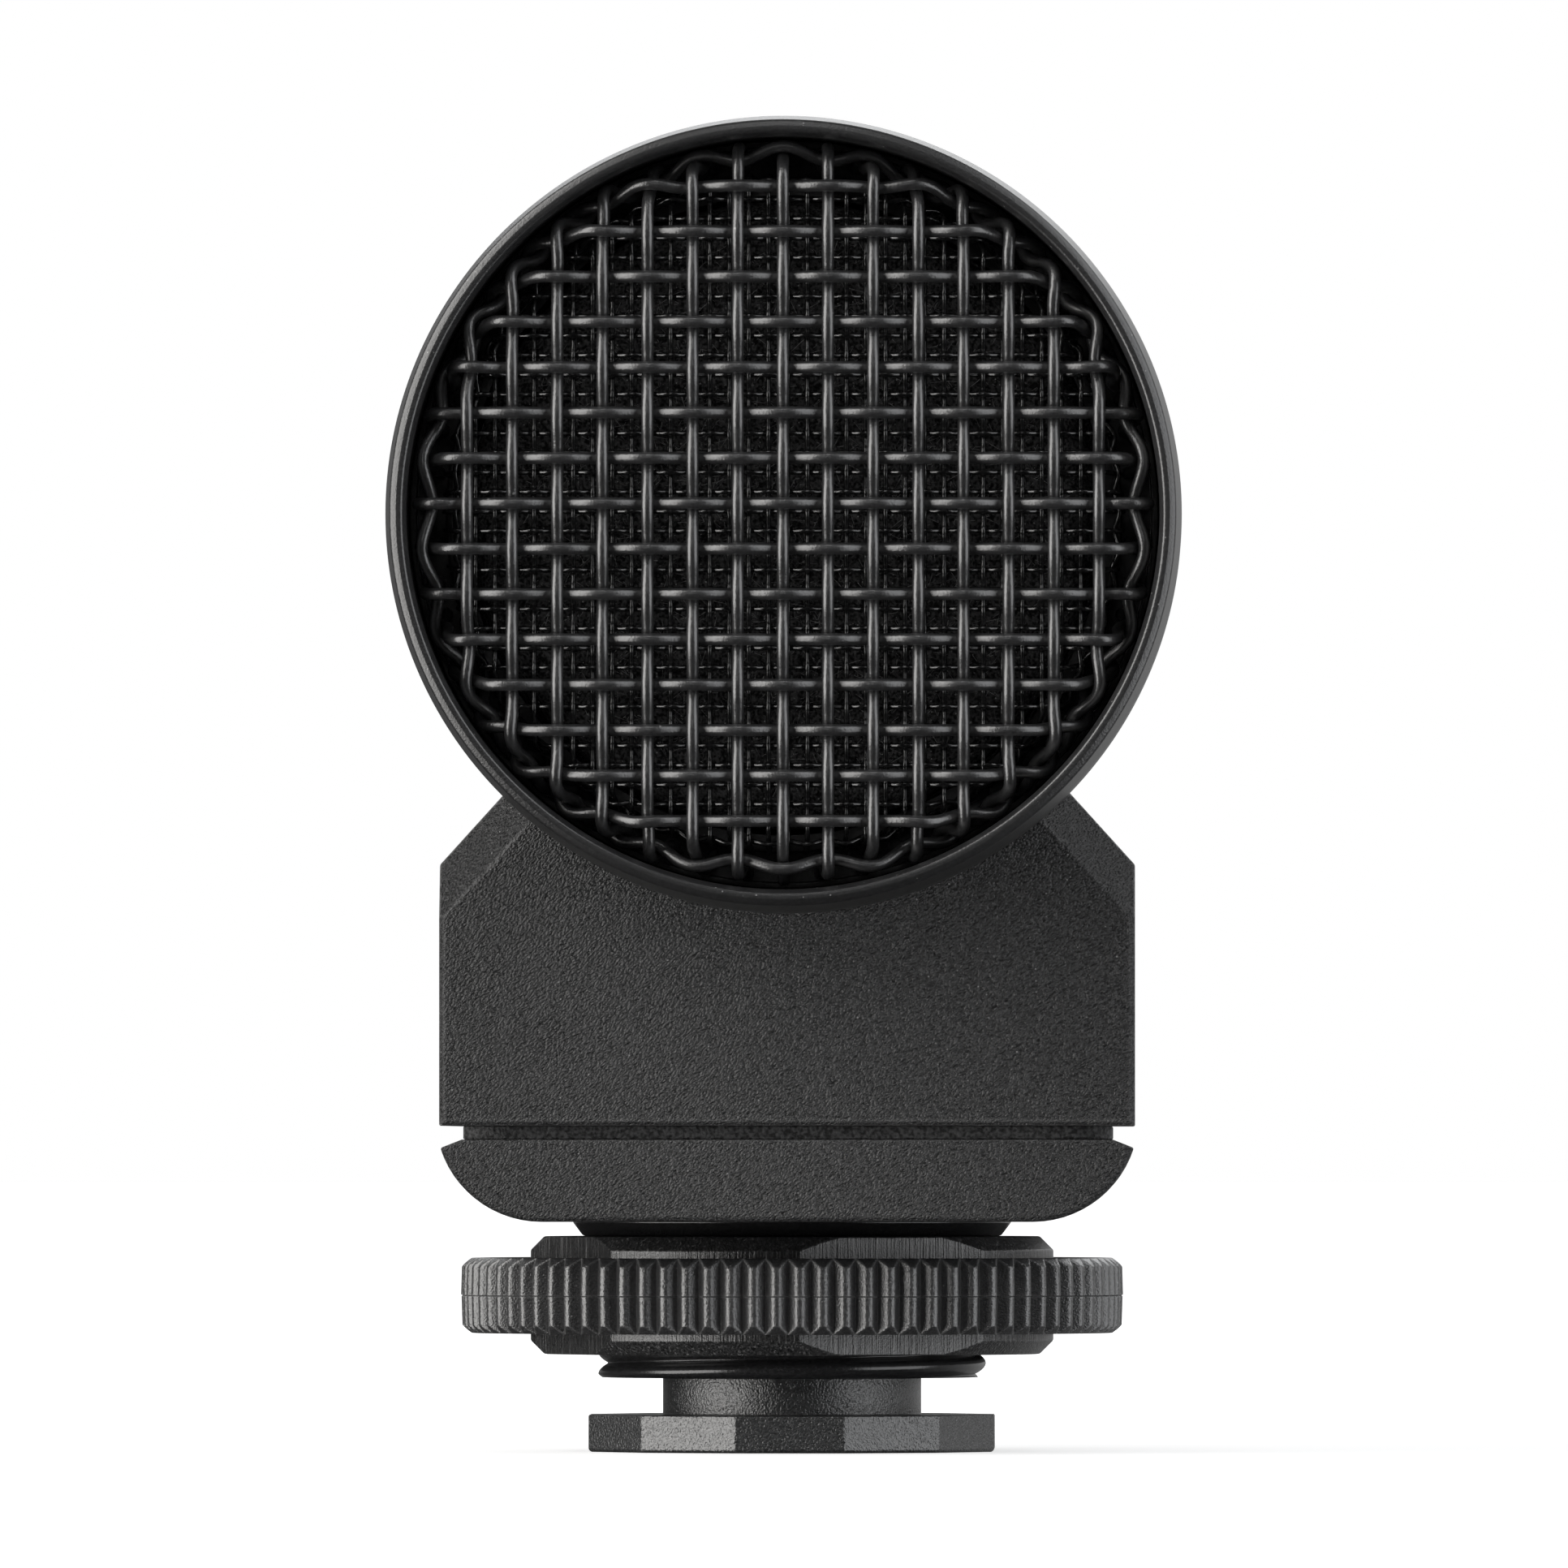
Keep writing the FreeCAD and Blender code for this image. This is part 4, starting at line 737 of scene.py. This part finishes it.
# Fine screen. A thin black wire cloth behind the coarse mesh, pressed into a pan, which keeps the
# foam back.
screen_lay = dome(apex=-31.9, crown=900.0, shoulder=0.8, wall=15.1)
screen_ends = round_cut(reach=16.64, last=15.55)
screen_upright, screen_level = (0.875, 0.2), (0.875, 0.1)
screen_wire, screen_crimp = 0.23, 0.13
screen_wire_finish = finish("fine_black_wire", (0.006, 0.006, 0.0062), 0.18, 1.0, grain=(0.2, 0.004))
blocks = []
for upright in (True, False):
    own, cross = (screen_upright, screen_level) if upright else (screen_level, screen_upright)
    blocks.append(woven(screen_lay, upright, own, cross, screen_ends, screen_wire, screen_crimp,
                        first_in_front=upright, steps=6, sides=7))
fine_screen = piece_of("fine_screen_cloth", *joined(blocks), screen_wire_finish, steady=False)
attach(fine_screen, "housing")
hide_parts("inner_screen")


# Foam. A soft black open-cell plug behind the screen, which stops wind and spit. Its skin is
# uneven and short fibres stand out of it.
foam_front, foam_back, foam_radius, foam_edge = -30.75, -20.4, 14.1, 1.6
foam_sides, foam_rings, foam_edge_steps = 150, 50, 8
foam_middle, foam_flat = 0.15, foam_radius - foam_edge
skin_depth, skin_roughness = 0.5, 0.045
outline = [(radius, foam_front) for radius in np.linspace(foam_middle, foam_flat, foam_rings)]
outline += [(foam_flat + foam_edge * math.sin(turn), foam_front + foam_edge - foam_edge * math.cos(turn))
            for turn in np.linspace(0.1, math.pi / 2, foam_edge_steps)]
outline += [(foam_radius, foam_back), (foam_middle, foam_back)]
points = turned(outline, foam_sides, (0, 0, axis_height), False)
chance = np.random.default_rng(7)
unevenness = chance.normal(0, skin_roughness, len(points))
near_front = points[:, 1] < foam_front + skin_depth
points[near_front, 1] += np.abs(unevenness[near_front])
foam_finish = finish("open_cell_foam", (0.035, 0.035, 0.035), 0.9, 0.2, grain=(0.16, 0.16),
                     specks=(0.22, 0.16, 0.2), pale=(0.3, 0.3, 0.3), tone_share=0.9)
foam = piece_of("foam_plug", points, lattice(len(outline), foam_sides, closed=False), foam_finish, steady=False)
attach(foam, "housing")
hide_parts("foam_liner")
fibre_count, fibre_steps, fibre_sides, fibre_radius = 2600, 4, 3, 0.016
fibre_spread, fibre_root, fibre_rise = (0.32, 0.12, 0.32), 0.02, 0.1
blocks = []
shares = np.linspace(0, 1, fibre_steps + 1)[:, None]
around = 2 * np.pi * np.arange(fibre_sides) / fibre_sides
for _ in range(fibre_count):
    reach = foam_flat * math.sqrt(chance.random())
    turn = 2 * math.pi * chance.random()
    root = np.array([reach * math.cos(turn), foam_front + fibre_root, axis_height + reach * math.sin(turn)])
    first, second = (chance.normal(0, 1, 3) * fibre_spread for _ in range(2))
    tip = root + first - (0, fibre_rise + abs(first[1]), 0)
    middle = root + first * (1 - shares) * shares * 2 + (tip - root) * shares + second * shares * (1 - shares)
    run = np.gradient(middle, axis=0)
    run /= np.linalg.norm(run, axis=1)[:, None]
    beside = np.cross(run, (0.3, 0.5, 0.8))
    beside /= np.linalg.norm(beside, axis=1)[:, None]
    over = np.cross(run, beside)
    rings = middle[:, None] + fibre_radius * (np.cos(around)[None, :, None] * beside[:, None]
                                              + np.sin(around)[None, :, None] * over[:, None])
    blocks.append((rings.reshape(-1, 3), lattice(fibre_steps + 1, fibre_sides, closed=False)))
fibre_finish = finish("foam_fibre", (0.2, 0.2, 0.2), 0.45, 0.5, grain=(0.3, 0.01))
fibres = piece_of("foam_fibres", *joined(blocks), fibre_finish, steady=False)
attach(fibres, "housing")


# Side screens. Two curved pieces of the same fine cloth against the inside of the barrel, behind
# the sound slots.
cloth_lay_radius, cloth_middle = 15.2, 4.0


def barrel_lay(across, up):
    """Lays a flat cloth on the inside of the barrel's right wall: across is along the barrel."""
    turn = up / cloth_lay_radius
    points = np.stack([cloth_lay_radius * np.cos(turn), cloth_middle + across,
                       axis_height + cloth_lay_radius * np.sin(turn)], 1)
    return points, np.stack([np.cos(turn), np.zeros_like(turn), np.sin(turn)], 1)


def cloth_ends(half_width, half_length):
    """Gives where a wire of a straight cloth starts and ends."""
    return lambda offset: (-half_length, half_length) if abs(offset) < half_width else None


half_run, half_rise = 15.4, 7.9
cloth_pitch = (0.6, 0.0)
cloth_wire, cloth_crimp = 0.16, 0.07
blocks = []
for upright, own_half, cross_half in ((True, half_run, half_rise), (False, half_rise, half_run)):
    points, faces = woven(barrel_lay, upright, cloth_pitch, cloth_pitch, cloth_ends(own_half, cross_half),
                          cloth_wire, cloth_crimp, first_in_front=upright, steps=4, sides=5)
    blocks += [(points * np.array([side, 1, 1]), faces) for side in (1, -1)]
side_cloth = piece_of("side_screens_cloth", *joined(blocks), screen_wire_finish, steady=False)
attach(side_cloth, "housing")
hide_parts("side_screens")


# Capsule and what carries it. An aluminium can in a black plastic cradle, hung on two silicone
# rings with four arms each, and its thin lead down to the board.
dressed("capsule", finish("capsule_can", (0.62, 0.62, 0.64), 0.32, 0.5, 1.0, grain=(0.1, 0.003)), 0.1)
dressed("capsule_cradle", finish("cradle_plastic", (0.03, 0.03, 0.03), 0.5, grain=(0.3, 0.01)), 0.1)
isolator_finish = finish("isolator_silicone", (0.03, 0.03, 0.031), 0.55, 0.4, grain=(0.4, 0.01))
dressed("front_isolator", isolator_finish, 0.12)
dressed("rear_isolator", isolator_finish, 0.12)
dressed("capsule_lead", finish("lead_sheath", (0.03, 0.03, 0.03), 0.4, grain=(0.3, 0.006)), 0.03)


# Circuit board and what stands on it. Green glass-epoxy with black chips and capacitors, out of
# sight inside the block.
dressed("circuit_board", finish("board_laminate", (0.02, 0.12, 0.04), 0.35, grain=(0.25, 0.006)), 0.04)
dressed("board_parts", finish("part_plastic", (0.02, 0.02, 0.02), 0.45, grain=(0.2, 0.008)), 0.08)


# Jack. A black moulded socket on the board whose nose comes through the rear cover, with its
# nickel-plated ring nut, slotted twice, and flat legs of plated brass.
dressed("jack_socket", finish("jack_moulding", (0.015, 0.015, 0.015), 0.4, grain=(0.3, 0.006)), 0.06)
dressed("jack_contacts", finish("plated_brass", (0.75, 0.58, 0.3), 0.3, 0.5, 1.0, grain=(0.2, 0.003)), 0.03)
jack_height = 23.13
ring_bore, ring_radius, ring_seat, ring_end = 2.96, 4.17, 33.5, 34.5
ring_sides = 72
slot_size = (12, 0.9, 0.8)
ring_outline = rounded([(ring_bore, ring_seat), (ring_radius, ring_seat), (ring_radius, ring_end, 0.12),
                        (ring_bore, ring_end, 0.1)])
nickel_finish = finish("nickel_plate", (0.55, 0.54, 0.52), 0.22, 0.5, 1.0, grain=(0.15, 0.002), edges_worn_and_lit=(0.05, 0.3),
                       pale=(0.7, 0.69, 0.66))
jack_ring = piece_of("jack_ring_nut", turned(ring_outline, ring_sides, (0, 0, jack_height), False),
                     lattice(len(ring_outline), ring_sides), nickel_finish)
slot_mesh = bpy.data.meshes.new("nut_slots")
shape = bmesh.new()
bmesh.ops.create_cube(shape, size=1)
bmesh.ops.scale(shape, vec=[size * millimetre for size in slot_size], verts=shape.verts)
bmesh.ops.translate(shape, vec=(0, ring_end * millimetre, jack_height * millimetre), verts=shape.verts)
shape.to_mesh(slot_mesh)
shape.free()
nut_slots = bpy.data.objects.new("nut_slots", slot_mesh)
bpy.context.scene.collection.objects.link(nut_slots)
cut = jack_ring.modifiers.new("slots", "BOOLEAN")
cut.object = nut_slots
cut.solver = "EXACT"
# The slots are cut before the normals are steadied.
jack_ring.modifiers.move(1, 0)
shaped = bpy.data.meshes.new_from_object(jack_ring.evaluated_get(bpy.context.evaluated_depsgraph_get()))
jack_ring.modifiers.clear()
jack_ring.data = shaped
bpy.data.objects.remove(nut_slots)
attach(jack_ring, "housing")
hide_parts("jack_nut")
